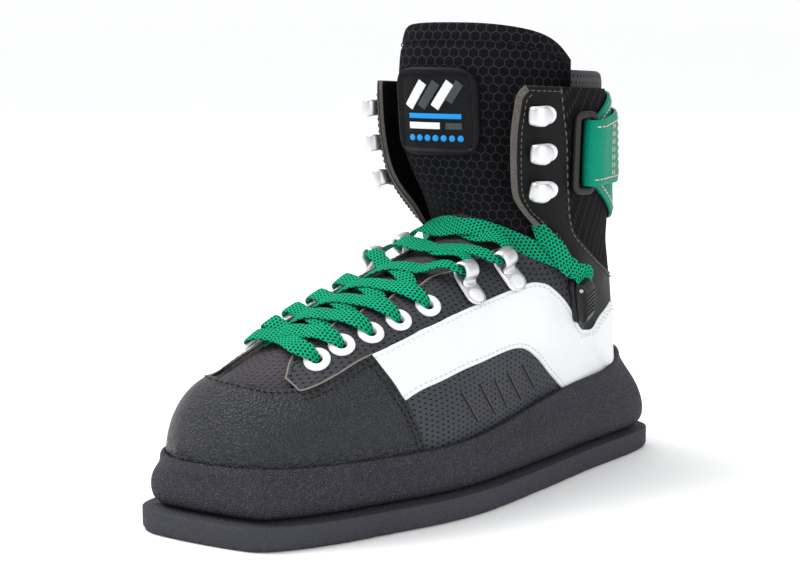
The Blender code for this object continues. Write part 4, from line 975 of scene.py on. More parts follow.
def panel(name, outlines, top, looks, step=2.4, ease=0.45, under=PANEL_UNDER, replaces=(), rise=None):
    """Leather cut to outlines (the first outside, the rest holes) and laid on the skin.

    looks are those of the face, the cut edge and the back; rise adds height by place."""
    rise = rise or (lambda places: np.zeros(len(places)))
    by_u, by_v = slopes(outlines[0])
    scale = np.array((np.linalg.norm(by_v, axis=1).mean(), np.linalg.norm(by_u, axis=1).mean()))
    soft = [shift(ring, -ease if k else ease, closed=True) for k, ring in enumerate(outlines)]
    flat_rings = [ring[:, ::-1] * scale for ring in soft]
    low, high = flat_rings[0].min(axis=0), flat_rings[0].max(axis=0)
    xs, ys = np.arange(low[0], high[0], step), np.arange(low[1], high[1], step * 0.87)
    fill = np.stack(np.meshgrid(xs, ys), axis=-1)
    fill[1::2, :, 0] += step / 2
    fill = fill.reshape(-1, 2)
    fill = fill[within(flat_rings, fill)]
    rim = np.vstack(flat_rings)
    clear = np.array([np.min(np.sum((rim - p) ** 2, axis=1)) for p in fill]) if len(fill) else fill
    fill = fill[clear > (0.62 * step) ** 2] if len(fill) else fill
    edges, start = [], 0
    for ring in flat_rings:
        edges += [(start + k, start + (k + 1) % len(ring)) for k in range(len(ring))]
        start += len(ring)
    flat = np.vstack((rim, fill)) if len(fill) else rim
    made = delaunay_2d_cdt([Vector(p) for p in flat], edges, [], 1, 1e-5)
    flat_out = np.array([tuple(p) for p in made[0]])
    origin_of = {}
    for new, olds in enumerate(made[3]):
        for old_index in olds:
            origin_of[old_index] = new
    triangles = [tuple(face) for face in made[2]]
    middles = np.array([flat_out[list(face)].mean(axis=0) for face in triangles])
    triangles = [face for face, wanted in zip(triangles, within(flat_rings, middles)) if wanted]
    places = (flat_out / scale)[:, ::-1]
    edge_places = np.vstack(outlines)
    count, total = len(edge_places), len(places)
    lift, edge_lift = top + rise(places), top + rise(edge_places)
    points = np.vstack((skin(places, lift)[0], skin(places, under)[0],
                        skin(edge_places, edge_lift - ease)[0], skin(edge_places, under + ease / 2)[0]))
    uv = np.vstack((np.tile(bilinear(SPREAD, places), (2, 1)),
                    np.tile(bilinear(SPREAD, edge_places), (2, 1))))
    faces = list(triangles)
    faces += [(total + a, total + c, total + b) for a, b, c in triangles]
    face_looks = [0] * len(triangles) + [2] * len(triangles)
    start = 0
    for ring in outlines:
        for k in range(len(ring)):
            i, j = start + k, start + (k + 1) % len(ring)
            a, b = origin_of[i], origin_of[j]
            e, f = 2 * total + i, 2 * total + j
            g, h = e + count, f + count
            faces += [(a, b, f, e), (e, f, h, g), (g, h, total + b, total + a)]
            face_looks += [0, 1, 1]
        start += len(ring)
    used = [LOOK[look] for look in looks]
    return piece(name, points, faces, used, replaces, uv, face_looks)


def circle_at(spot_place, radius):
    """Ring of places round a place, with a radius in millimetres."""
    by_u, by_v = (d[0] for d in slopes(np.array([spot_place])))
    metric = np.array(((by_u @ by_u, by_u @ by_v), (by_u @ by_v, by_v @ by_v)))
    right = unit(by_u)
    up = unit(by_v - right * (by_v @ right))
    ring = []
    for t in full_turn(HOLE_SIDES):
        move = radius * (math.cos(t) * right + math.sin(t) * up)
        ring.append(spot_place + np.linalg.solve(metric, (by_u @ move, by_v @ move)))
    ring = np.array(ring)
    return ring if area_seen(ring) > 0 else ring[::-1]


print("panels can be cut")

# %% [markdown]
# ## Stitches
# A sewn line is thread that comes up, lies over the leather and goes down again. Bump could fake it,
# but it would vanish at a glancing angle, so each stitch is a short bent capsule. All stitches of one
# colour are joined into one mesh.

# %% Thread
THREADS = {}
STITCH_RINGS, STITCH_SIDES = 5, 6
THREAD_RADIUS, STITCH_BOW, STITCH_SINK = 0.34, 0.35, 0.15
STITCH_FAT = np.array((0.45, 0.9, 1.0, 0.9, 0.45))


def sew(points, normals, colour, long=2.5, gap=0.9, radius=THREAD_RADIUS):
    """Lay stitches along a line of points over a surface."""
    length = chord_knots(points)
    t = np.linspace(0.0, 1.0, STITCH_RINGS)
    turn = full_turn(STITCH_SIDES)
    for start in np.arange(0.3, length[-1] - long, long + gap):
        at = start + t * long
        line = trace(at, length, points)
        up = unit(trace(at, length, normals))
        bow = (np.sin(math.pi * t) * STITCH_BOW - STITCH_SINK)[:, None]
        line = line + bow * up * radius / THREAD_RADIUS
        side = unit(np.cross(headings(line), up))
        fat = radius * STITCH_FAT
        loops = [p + f * (np.outer(np.cos(turn), s) + np.outer(np.sin(turn), n))
                 for p, f, s, n in zip(line, fat, side, up)]
        THREADS.setdefault(colour, []).append(rings(loops))


print("thread is ready")

# %% [markdown]
# ## Lines of the pattern
# These are the seams and edges of the outside half of the boot, as places on the skin. The inside
# half uses the same lines mirrored. Each table runs from the front or the top.

# %% Edges and seams
CUFF_FRONT = ((3.088, 20.98), (3.15, 20.88), (3.19, 20.64), (3.22, 20.25), (3.238, 19.75), (3.263, 19.20),
              (3.30, 18.32), (3.288, 17.60), (3.225, 16.88), (3.10, 16.20), (2.93, 15.50), (2.80, 15.02))
VAMP_END = ((3.42, 12.95), (3.42, 13.50), (3.30, 14.15), (3.08, 14.72), (2.90, 14.88), (2.80, 15.02))
CAP_TOP = ((4.0, 3.12), (3.72, 3.25), (3.40, 3.65), (3.21, 4.08), (3.12, 4.46), (3.06, 4.72), (2.99, 4.90))
FACING_FRONT = ((3.30, 4.60), (3.20, 4.63), (3.10, 4.665), (3.0, 4.705))
FACING_LOW = ((3.0, 4.705), (2.965, 5.0), (2.945, 5.43), (2.955, 5.85), (2.972, 6.20), (2.985, 6.56))
CAP_BACK = ((2.985, 6.56), (2.70, 6.68), (2.45, 6.83), (2.212, 6.98), (2.062, 7.08), (1.70, 7.25),
            (1.238, 7.43), (0.60, 7.66))
WHITE_FRONT = ((2.985, 6.45), (2.60, 6.62), (2.363, 6.78), (2.163, 7.00))
WHITE_LOW = ((2.163, 7.00), (2.225, 7.38), (2.238, 7.83), (2.25, 8.33), (2.243, 8.85), (2.238, 9.35),
             (2.225, 9.78), (2.175, 10.0), (2.062, 10.2), (1.863, 10.38), (1.588, 10.53), (1.312, 10.68),
             (1.10, 10.78), (0.70, 10.95))
WHITE_UNDER = ((0.70, 10.95), (0.66, 11.8), (0.60, 12.6), (0.50, 13.3), (0.34, 13.9), (0.15, 14.3),
               (0.0, 14.4))
WHITE_TOP = ((0.0, 17.1), (0.5, 17.0), (1.0, 16.6), (1.5, 16.03), (1.713, 15.38), (1.95, 14.53), (2.03, 13.6),
             (2.06, 12.95), (2.13, 12.70), (2.30, 12.60), (2.45, 12.55), (2.60, 12.44), (2.738, 12.20),
             (2.85, 11.90), (2.925, 11.42), (2.972, 10.85), (2.986, 10.33), (2.988, 9.68), (2.988, 9.25),
             (2.988, 8.72), (2.988, 8.20), (2.992, 7.70), (2.982, 7.10), (2.985, 6.45))
SEAM = ((2.60, 20.98), (2.562, 20.62), (2.513, 20.15), (2.525, 19.53), (2.55, 18.88), (2.575, 18.25),
        (2.56, 17.72), (2.42, 17.40), (2.225, 17.28), (1.95, 17.26), (1.538, 17.30), (1.2, 17.36),
        (0.92, 17.58), (0.72, 17.98), (0.55, 18.45), (0.30, 18.62))
# columns: side, height of the slit's edge behind the heel
SLIT = ((0.5, 101.5), (7.0, 104.0), (10.5, 110.0), (12.5, 118.0), (15.0, 150.0), (19.5, 182.0), (21.5, 200.8))
# columns: station, half width of the throat behind the facing's corner; it peaks between eyelets
THROAT = ((231.0, 13.0), (225.0, 16.0), (217.5, 15.0), (210.0, 18.1), (202.0, 17.1), (194.0, 20.0),
          (185.0, 18.5), (176.0, 21.3), (163.0, 20.2), (150.0, 23.0), (137.0, 22.6))


def slit_places():
    """Edge of the slit on the outside half, found by side and height at the back."""
    found = []
    back = (FINE_V > 17.0) & (FINE_V < 21.2)
    for side, height in SLIT:
        miss = np.hypot(FINE[..., 0] - side, FINE[..., 2] - height)
        miss[~back] = np.inf
        miss[:, FINE_U > 1.4] = np.inf
        found.append(least(miss))
    found[0] = (0.0, found[0][1])
    found[-1] = (found[-1][0], COLLAR_ROW - 0.02)
    return np.array(found)


SLIT_EDGE = slit_places()
THROAT_EDGE = [FACING_FRONT[0]] + [tuple(seek(s, True, side=throat_middle(s) + half)) for s, half in THROAT]
THROAT_EDGE = np.array(THROAT_EDGE + [VAMP_END[0]])
print("slit:", np.round(SLIT_EDGE, 2).tolist())
print("throat:", np.round(THROAT_EDGE, 2).tolist())

# %% [markdown]
# ## The boot's shell
# The shell is one leather wall open underneath, at the throat, at the notches and behind the heel.
# Mesh cloth shows on the cuff; everything else is covered by panels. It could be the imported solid
# with Booleans, but cut from the fine skin its edges are smooth. Its cut edges are raw felt.

# %% Shell
half_shell = [
    run(((0.0, -0.9), (0.0, 3.0), (0.0, 7.0), (0.0, 11.0), (0.0, 14.0)), 3.0),
    run(((0.0, 14.0), (0.0, 15.5), (0.0, SLIT_EDGE[0, 1])), 3.0),
    run(SLIT_EDGE),
    run((SLIT_EDGE[-1], (1.8, 20.98), CUFF_FRONT[0])),
    run(CUFF_FRONT),
    run(VAMP_END[::-1]),
    run(THROAT_EDGE[::-1]),
    run((FACING_FRONT[0], (3.12, 4.55), (3.22, 4.10), (3.45, 3.72), (3.74, 3.34), (4.0, 3.24))),
]
shell_outline = both_halves(half_shell)
shell_outline.append(np.array(((8.0, -0.9), (6.0, -0.9), (4.0, -0.9), (2.0, -0.9), (0.0, -0.9))))
EYELETS = ((237.0, 22.5), (225.0, 26.0), (210.0, 29.5), (194.0, 31.5), (176.0, 33.0))
HOLE_RADIUS = 3.0
eyelet_places = {}
for number, (station, side) in enumerate(EYELETS, 1):
    for outside in (True, False):
        across_throat = side if outside else 2 * throat_middle(station) - side
        eyelet_places[number, outside] = seek(station, outside, side=across_throat)
eyelet_holes = {outside: [circle_at(eyelet_places[number, outside], HOLE_RADIUS) for number in range(1, 6)]
                for outside in (True, False)}
shell = panel("upper_shell", [ring_of(*shell_outline)] + eyelet_holes[True] + eyelet_holes[False], 0.0,
              ("mesh", "raw", "lining"), step=2.6, under=-WALL, replaces=("upper",))
print(shell.name, len(shell.data.polygons), "faces")

# %% [markdown]
# ## Panels of the upper
# Over the shell lie a pebbled toe cap, punched facings, a white side panel, a punched quarter and the
# smooth leather of cuff and heel counter. The order of the layers is the order of the real shoe: the
# white panel lies on facing, quarter and counter, the cap on the white panel, the facing's front on
# the cap. Both halves come from one set of lines.

# %% Toe cap
LIFT = {"quarter": 0.4, "felt": 0.45, "cuff": 0.7, "facing": 1.0, "white": 1.45, "cap": 1.7}


def by_side(lines, outside):
    """Lines for the outside, or mirrored for the inside."""
    return [sided(line, outside) for line in lines]


cap_half = [run(((0.55, -0.88), (0.55, 2.0), (0.58, 5.0), (0.60, 7.66)), 2.0), run(CAP_BACK[::-1]),
            run(((2.985, 6.56), (2.99, 6.2), (3.03, 5.8), (3.02, 5.2), (2.99, 4.90))), run(CAP_TOP[::-1])]
cap_outline = both_halves(cap_half)
cap_outline.append(run(((7.45, -0.88), (6.0, -0.88), (4.0, -0.88), (2.0, -0.88), (0.55, -0.88)), 1.0))
panel("toe_cap", [ring_of(*cap_outline)], LIFT["cap"], ("cap", "thread_black", "cap"), step=2.3, ease=0.7)
print("toe cap is laid")

# %% Facings, quarters, cuffs and white panels
FELT_WIDE, FELT_UNDER = 3.0, 1.2
RISE_HIGH, RISE_FROM, RISE_WIDE, RISE_ENDS = 1.15, 2.95, 0.16, (6.2, 6.6)
CUT_WIDE, CUT_THICK, CUT_SUNK = 0.9, 0.5, 0.1


def facing_rise(places):
    """The facing climbs over the cap along its front edge."""
    u = np.where(places[:, 0] > 4.0, 8.0 - places[:, 0], places[:, 0])
    near = np.exp(-(np.maximum(u - RISE_FROM, 0.0) / RISE_WIDE) ** 2)
    return RISE_HIGH * near * (1 - ramp(places[:, 1], *RISE_ENDS))


for hand, outside in HANDS:
    tuck = np.array(WHITE_TOP[::-1])[:13] - (0.15, 0.0)
    tuck[0] = FACING_LOW[-1]
    facing = by_side((run(THROAT_EDGE), run(VAMP_END),
                      run(((2.80, 15.02), (2.62, 14.45), (2.36, 13.6), (2.0, 12.9), (1.9, 12.5))),
                      run(np.vstack((((1.9, 12.5),), tuck[::-1]))), run(FACING_LOW[::-1]),
                      run(FACING_FRONT[::-1])), outside)
    panel(f"facing_{hand}", [ring_of(*facing)] + eyelet_holes[outside], LIFT["facing"],
          ("facing" if outside else "white", "tan", "lining"), rise=facing_rise)
    edges = []
    for line in by_side((run(FACING_LOW), run(FACING_FRONT), run(THROAT_EDGE)), outside):
        edge_points, edge_lean = skin(line, LIFT["facing"] + facing_rise(line) - CUT_SUNK)
        edges.append(flat_band(edge_points, edge_lean, CUT_WIDE, CUT_THICK))
    add(f"facing_cut_edge_{hand}", gather(edges), "tan")
    low = np.array(WHITE_LOW)
    quarter = by_side((run(low + (0.12, 0.0)), run(((0.82, 10.95), (0.60, 7.3))),
                       run(((0.60, 7.3), (1.238, 7.2), (1.70, 7.02), (2.062, 6.85), (2.283, 7.0)))), outside)
    panel(f"quarter_{hand}", [ring_of(*quarter)], LIFT["quarter"], ("quarter", "tan", "lining"))
    front = run(CUFF_FRONT)
    cuff = by_side((run(shift(front, FELT_WIDE)),
                    run(((2.80, 15.02), (2.72, 14.3), (2.5, 13.3), (2.2, 12.6), (1.85, 12.6))),
                    run(((1.85, 12.6), (1.80, 13.6), (1.68, 14.4), (1.42, 15.1), (1.1, 15.8), (0.7, 16.3),
                         (0.3, 16.5), (0.0, 16.5))),
                    run(((0.0, 16.5), (0.0, 17.2), (0.0, SLIT_EDGE[0, 1]))),
                    run(np.vstack((SLIT_EDGE[:4], ((0.30, 18.62),)))), run(SEAM[::-1]),
                    run(((2.60, 20.98), (2.85, 20.98), (3.088, 20.98)))), outside)
    panel(f"cuff_{hand}", [ring_of(*cuff)], LIFT["cuff"], ("cuff", "raw", "lining"))
    tucked = shift(front, FELT_WIDE + FELT_UNDER)
    felt = by_side((front, (front[-1], tucked[-1]), tucked[::-1], (tucked[0], front[0])), outside)
    panel(f"felt_edge_{hand}", [ring_of(*felt)], LIFT["felt"], ("raw", "raw", "lining"), step=1.5, ease=0.3)
    white = by_side((run(WHITE_FRONT), run(WHITE_LOW), run(WHITE_UNDER),
                     run(((0.0, 14.4), (0.0, 15.8), (0.0, 17.1))), run(WHITE_TOP)), outside)
    panel(f"white_panel_{hand}", [ring_of(*white)], LIFT["white"], ("white", "white", "lining"), ease=0.6)
print("panels of the upper are laid")

# %% [markdown]
# ## The sole
# The outsole is a flat rubber plate with a rough cut edge, and the midsole a foam block that rises
# round the upper like a cup. Both are lofts: closed outlines of the sole stacked at different heights
# and insets. A sculpted block could serve too, but a loft keeps the outline true all the way round.

# %% Outsole
PLATE_THICK = 11.3
PLATE_PER_ROW = 12
plate = ring_by_rows(0, PLATE_PER_ROW)
rough = np.random.default_rng(7)


def level_ring(ring, height):
    """A closed outline put at a height, or at a height for each point."""
    height = np.broadcast_to(height, len(ring))
    return np.stack((ring[:, 1], HEEL_Y - ring[:, 0], height), axis=1)


def notched(size):
    """Small uneven inset for each point of the plate's outline."""
    fine = rough.random(len(plate))
    return size * (0.55 * fine + 0.45 * np.repeat(rough.random(len(plate) // 3), 3))


# columns: inset, height, unevenness of the cut
PLATE_LEVELS = ((14.0, 0.0, 0.0), (3.0, 0.0, 0.0), (0.9, 0.0, 0.4), (0.25, 0.3, 1.0), (0.0, 1.9, 0.3),
                (0.0, 6.0, 0.12), (0.0, 10.2, 0.1), (0.1, 10.9, 0.1), (0.45, 11.25, 0.0),
                (6.0, 11.3, 0.0), (16.0, 11.3, 0.0))
TEETH_BELOW, TEETH_HIGH = 1.0, 0.9
plate_rings = [level_ring(offset_ring(plate, -inset - notched(uneven)),
                          height + (TEETH_HIGH * notched(uneven) if 0 < height < TEETH_BELOW else 0.0))
               for inset, height, uneven in PLATE_LEVELS]
add("outsole_plate", rings(plate_rings), "outsole", ("outsole",))
print("outsole:", PLATE_THICK, "mm thick")

# %% Midsole
TOP_LINE = ((0.0, 57.0), (20.0, 56.0), (34.0, 51.5), (60.0, 48.0), (80.0, 46.2), (105.0, 43.0),
            (130.0, 39.7), (160.0, 36.8), (200.0, 35.7), (250.0, 36.2), (292.0, 36.8))
MIDSOLE_LOW = PLATE_THICK + GAP
INSET_HEEL, INSET_TOE, INSET_RAMP = 2.5, 4.5, (40.0, 240.0)
UNDERCUT, LIP, BELLY_UP = 6.0, 3.4, 8.0
last_ring = ring_by_rows(2, PLATE_PER_ROW)
top_knots = np.array(TOP_LINE)
top_curve = spline(top_knots[:, 0], top_knots[:, 1])
top_height = top_curve(np.clip(last_ring[:, 0], 0.0, 292.0))[:, 0]
inset = INSET_HEEL + (INSET_TOE - INSET_HEEL) * ramp(plate[:, 0], *INSET_RAMP)
belly, lip = offset_ring(plate, -inset), offset_ring(last_ring, LIP)
shoulder = 0.5 * belly + 0.5 * lip + 0.10 * (belly - lip)
cup_floor = floor_height(last_ring[:, 0]) - 0.4
wall_levels = (
    (offset_ring(plate, -inset - UNDERCUT), MIDSOLE_LOW),
    (offset_ring(plate, -inset - 0.3 * UNDERCUT), MIDSOLE_LOW + 3.0),
    (belly, MIDSOLE_LOW + BELLY_UP),
    (shoulder, 0.45 * (MIDSOLE_LOW + BELLY_UP) + 0.55 * top_height),
    (offset_ring(last_ring, LIP + 0.9), top_height - 3.0),
    (offset_ring(last_ring, LIP + 0.3), top_height - 0.5),
    (offset_ring(last_ring, LIP - 0.7), top_height),
    (offset_ring(last_ring, LIP - 2.2), top_height - 1.3),
)
wall = np.array([level_ring(ring, height) for ring, height in wall_levels])
wall_knots = mean_knots(wall)
wall_curve = spline(wall_knots, wall.reshape(len(wall), -1))
WALL_RINGS = 26
wall_rings = list(wall_curve(np.linspace(0.0, wall_knots[-1], WALL_RINGS)).reshape(WALL_RINGS, -1, 3))
under_rings = [level_ring(offset_ring(plate, -inset - UNDERCUT - more), MIDSOLE_LOW) for more in (10.0, 0.6)]
bed_rings = [level_ring(offset_ring(last_ring, -inside_by), height) for inside_by, height in
             ((3.4, top_height - 1.8), (3.8, cup_floor + 1.5), (6.0, cup_floor), (14.0, cup_floor))]
cup_rings = under_rings + wall_rings + bed_rings
midsole = add("midsole_cup", rings(cup_rings), "midsole", ("midsole",))
print("sole:", len(midsole.data.polygons), "faces in the cup")

# %% [markdown]
# ## Soft pieces inside
# The insole, the tongue and the padded collar are foam under cloth. A cloth simulation would swell
# them evenly and erase their thin rims, so they are pillows made by code: a curved middle surface and
# a thickness that falls away smoothly towards every edge.


# %% Pillows
def pillow(middle, normal, thick, edge=0.12, power=7.0):
    """Closed pillow round a grid of middle points; its thickness falls away at the edges."""
    rows, columns = middle.shape[:2]
    b = np.abs(np.linspace(-1.0, 1.0, rows))[:, None]
    a = np.abs(np.linspace(-1.0, 1.0, columns))[None, :]
    fall = np.sqrt(np.maximum((1 - a ** power) * (1 - b ** power), 0.0))
    half = 0.5 * np.asarray(thick) * (edge + (1 - edge) * fall)
    outer, inner = middle + half[..., None] * normal, middle - half[..., None] * normal
    faces = sheet_faces(rows, columns)
    uv = running_lengths(middle)
    uv[..., 1] -= uv[rows * 3 // 4, :, 1]
    uv = uv.reshape(-1, 2)
    quads = (rows - 1) * (columns - 1)
    looks = [0] * quads + [1] * quads + [0] * (len(faces) - 2 * quads)
    return np.vstack((outer.reshape(-1, 3), inner.reshape(-1, 3))), faces, np.vstack((uv, uv)), looks


def even_edges(count, crowd=0.72):
    """Numbers from -1 to 1 that crowd towards both ends."""
    t = np.linspace(-1.0, 1.0, count)
    return (1 - crowd) * t + crowd * np.sin(t * math.pi / 2)


print("pillows can be made")

# %% Insole
# It is a thin footbed that follows the floor of the cup
INSOLE_THICK, INSOLE_IN, INSOLE_ROWS, INSOLE_COLUMNS = 4.0, 5.2, 90, 40
INSOLE_TURN = math.radians(83.0)
ring = offset_ring(LAST_RING, -INSOLE_IN)
branches = (ring[:TIP + 1], np.vstack((ring[TIP:], ring[:1]))[::-1])
low, high = ring[:, 0].min(), ring[:, 0].max()
bed = []
for share in np.sin(np.linspace(-1.0, 1.0, INSOLE_ROWS) * INSOLE_TURN):
    station = (low + high) / 2 + (high - low) / 2 * share
    ends = [np.interp(station, branch[:, 0], branch[:, 1]) for branch in branches]
    sides = (ends[0] + ends[1]) / 2 + (ends[1] - ends[0]) / 2 * even_edges(INSOLE_COLUMNS)
    bed.append([place(station, side, floor_height(station) + GAP + INSOLE_THICK / 2 + 0.1) for side in sides])
bed = np.array(bed)
bed_normal = np.broadcast_to(Z_AXIS, bed.shape)
points, faces, uv, looks = pillow(bed, bed_normal, INSOLE_THICK - 0.3, edge=0.4)
insole = piece("insole_bed", points, faces, [LOOK["footbed"], LOOK["footbed"]], ("insole",), uv,
               looks)
print("insole:", INSOLE_THICK, "mm thick")

# %% Tongue
# It follows the skin under the facings and wraps the shin above them
TONGUE_THICK, TONGUE_UNDER = 6.0, WALL + 0.5
# columns: front station, front height, half width, depth of the wrap, drop of the edges, turn outwards
TONGUE_SHAFT = (
    (123.5, 150.0, 37.5, 43.0, 4.0, 0.20), (126.5, 161.0, 38.8, 45.0, 3.0, 0.30),
    (129.5, 178.0, 39.5, 46.0, 4.0, 0.38), (130.5, 204.0, 39.5, 46.0, 9.0, 0.40),
    (130.0, 224.0, 39.0, 46.0, 11.0, 0.40), (128.5, 236.0, 38.5, 45.0, 12.0, 0.40),
)
TONGUE_FOOT = (2.7, 3.3, 4.0, 4.7, 5.5, 6.5, 7.5, 8.5, 9.5, 10.5, 11.5, 12.5, 13.5, 15.0)
TONGUE_REACH, TONGUE_WRAP = 1.38, math.radians(86.0)
TONGUE_MIDDLE, TONGUE_SQUARE = -1.5, 0.72
TONGUE_CORNER_FROM, TONGUE_CORNER_OVER, TONGUE_CORNER = 204.0, 32.0, 9.0
TONGUE_COLUMNS, TONGUE_ROWS = 73, 170
VAMP_TOP = 137.0
tongue_across = even_edges(TONGUE_COLUMNS, 0.5)
tongue_u = 4.0 + TONGUE_REACH * tongue_across
control = []
for v in TONGUE_FOOT:
    row_places = np.stack((tongue_u, np.full(TONGUE_COLUMNS, v)), axis=1)
    control.append(skin(row_places, -TONGUE_UNDER)[0])
for front, height, half, depth, drop, turn in TONGUE_SHAFT:
    angle = -tongue_across * TONGUE_WRAP
    fall = 1 - np.cos(angle) ** TONGUE_SQUARE
    side = half * np.sign(angle) * np.abs(np.sin(angle)) ** TONGUE_SQUARE + TONGUE_MIDDLE
    corner = TONGUE_CORNER * max(height - TONGUE_CORNER_FROM, 0.0) / TONGUE_CORNER_OVER * tongue_across ** 8
    station = front - depth * fall - turn * side
    control.append(np.stack((side, HEEL_Y - station, height - drop * fall - corner), axis=1))
control = np.array(control)
tongue_knots = mean_knots(control)
tongue_curve = spline(tongue_knots, control.reshape(len(control), -1))
crowd = 0.5 + 0.5 * even_edges(TONGUE_ROWS, 0.35)
TONGUE = tongue_curve(crowd * tongue_knots[-1]).reshape(TONGUE_ROWS, TONGUE_COLUMNS, 3)
TONGUE_LEAN = grid_normals(TONGUE, np.zeros(TONGUE_ROWS, bool))
# a sewn band below the top edge, a soft swell over the shin and a step at the top of the vamp
BAND_DOWN, BAND_WIDE, BAND_DEEP = 9.0, 1.3, 0.9
SWELL_HIGH, SWELL_FROM, SWELL_TO, VAMP_STEP = 0.9, 75.0, 20.0, 0.7
band_gap = tongue_knots[-1] - crowd * tongue_knots[-1]
vamp_row = int(np.argmax(TONGUE[:, TONGUE_COLUMNS // 2, 2] > VAMP_TOP))
swell = SWELL_HIGH * ramp(-band_gap, -SWELL_FROM, -SWELL_TO)
swell = swell - BAND_DEEP * np.exp(-((band_gap - BAND_DOWN) / BAND_WIDE) ** 2)
swell = swell + VAMP_STEP * (np.arange(TONGUE_ROWS) <= vamp_row)
TONGUE = TONGUE + (swell[:, None] * (1 - tongue_across[None, :] ** 6))[..., None] * TONGUE_LEAN
tongue_middle = TONGUE - TONGUE_THICK / 2 * TONGUE_LEAN
points, faces, uv, looks = pillow(tongue_middle, TONGUE_LEAN, TONGUE_THICK, power=10.0)
looks = np.array(looks)
looks[:vamp_row * (TONGUE_COLUMNS - 1)] = 2
tongue = piece("padded_tongue", points, faces, [LOOK["tongue"], LOOK["spacer"], LOOK["vamp"]],
               ("tongue",), uv, looks)
print("tongue:", round(float(tongue_knots[-1])), "mm long")

# %% Inner collar
# It is a roll behind the cuff that stands a little above it
COLLAR_FOAM, COLLAR_LOW, COLLAR_TALL, COLLAR_REACH = 4.0, 18.0, 3.45, 2.3
collar_u = COLLAR_REACH * even_edges(121, 0.3)
collar_v = COLLAR_LOW + COLLAR_TALL * (0.5 + 0.5 * even_edges(40, 0.4))
collar_u = np.where(collar_u < 0, collar_u + 8.0, collar_u)
grid_places = np.stack(np.meshgrid(collar_u, collar_v), axis=-1).reshape(-1, 2)
collar_points, collar_lean = (part.reshape(len(collar_v), len(collar_u), 3) for part in skin(grid_places))
roll = 1.6 * ramp(collar_v, 20.6, 21.2)
thick = COLLAR_FOAM * (1 + 0.35 * ramp(collar_v, 20.5, 21.2))[:, None] * np.ones(len(collar_u))
middle = collar_points - (WALL + GAP + COLLAR_FOAM / 2 - 0.3 * roll)[:, None, None] * collar_lean
points, faces, uv, looks = pillow(middle, collar_lean, thick, power=9.0)
collar = piece("padded_collar", points, faces, [LOOK["collar"], LOOK["spacer"]],
               ("inner_collar",), uv, looks)
print("padded pieces:", insole.name, tongue.name, collar.name)

# %% [markdown]
# ## Eyelets and hooks
# The lace runs through five white eyelets a side, then two closed hooks, and the cuff carries three
# open hooks a side. Eyelets and rivets are turned profiles. A hook is stamped from sheet, so it is one
# flat band bent along its side view, with a width that changes along the bend. A Boolean of boxes and
# cylinders would give the shape too, but not the soft rolled edges.


# %% Seats for the hardware
def seat(place_at, forward, lift):
    """Origin, along, across and normal of a piece resting on the skin."""
    point, normal = (row[0] for row in skin([place_at], lift))
    along = unit(forward - normal * (forward @ normal))
    return point, along, np.cross(normal, along), normal


def bent(outline, steps):
    """Smooth path through a side view of (along, height) pairs."""
    outline = np.asarray(outline, float)
    knots = chord_knots(outline)
    return spline(knots, outline)(np.linspace(0.0, knots[-1], steps))


def round_ended(count, wide, tail, tip):
    """Widths along a band whose two ends are rounded over a share of its length."""
    t = np.linspace(0.0, 1.0, count)
    start = np.sqrt(np.clip(1 - (1 - np.clip(t / tail, 0, 1)) ** 2, 0.0, 1.0))
    stop = np.sqrt(np.clip(1 - (1 - np.clip((1 - t) / tip, 0, 1)) ** 2, 0.0, 1.0))
    return wide * np.maximum(np.minimum(start, stop), 0.16)


RIVET = ((0.0, 1.25), (1.6, 1.2), (3.0, 0.95), (3.9, 0.5), (4.2, 0.0), (4.2, -0.6))
RIVET_BACK = 3.4
HOOK_SIDES = 16


def stud(profile, origin, along, across, normal):
    """Turned stud with a closed foot."""
    return rings(turned(profile, origin, along, across, normal)[::-1])


def stamped_hook(name, seat_at, side_view, steps, ends, widths, thicks, replaces):
    """Hook bent from sheet; ends are its rounded shares, widths and thicks tables along it."""
    origin, along, across, normal = seat_at
    path = bent(side_view, steps)
    line = origin + np.outer(path[:, 0], along) + np.outer(path[:, 1], normal)
    share = np.linspace(0.0, 1.0, steps)
    wide = round_ended(steps, 1.0, *ends) * np.interp(share, *widths)
    add(name, ribbon(line, across, wide, np.interp(share, *thicks), HOOK_SIDES), "hook",
        (replaces,))


def hook_rivet(name, seat_at, rise):
    """Rivet through the foot of a hook."""
    origin, along, across, normal = seat_at
    made = stud(RIVET, origin - RIVET_BACK * along + rise * normal, along, across, normal)
    add(name, made, "rivet")


def facing_top(place_at):
    """Height of the facing over the skin at a place."""
    return LIFT["facing"] + float(facing_rise(np.array([place_at]))[0])


print("hardware can be seated")

# %% Eyelets
EYELET_PROFILE = ((2.75, -2.6), (2.75, 0.5), (3.05, 1.05), (3.7, 1.35), (4.6, 1.35), (5.6, 1.05), (6.3, 0.5),
                  (6.45, 0.0), (6.2, -0.35), (3.3, -0.4), (3.2, -2.6))
for (number, outside), spot_at in eyelet_places.items():
    hand = "outside" if outside else "inside"
    loops = turned(EYELET_PROFILE, *seat(spot_at, TOEWARD, facing_top(spot_at) + 0.2), 36)
    add(f"white_eyelet_{hand}_{number}", rings(loops, closed=True), "eyelet",
        (f"eyelet_{hand}_{number}",))
print("eyelets:", len(eyelet_places))

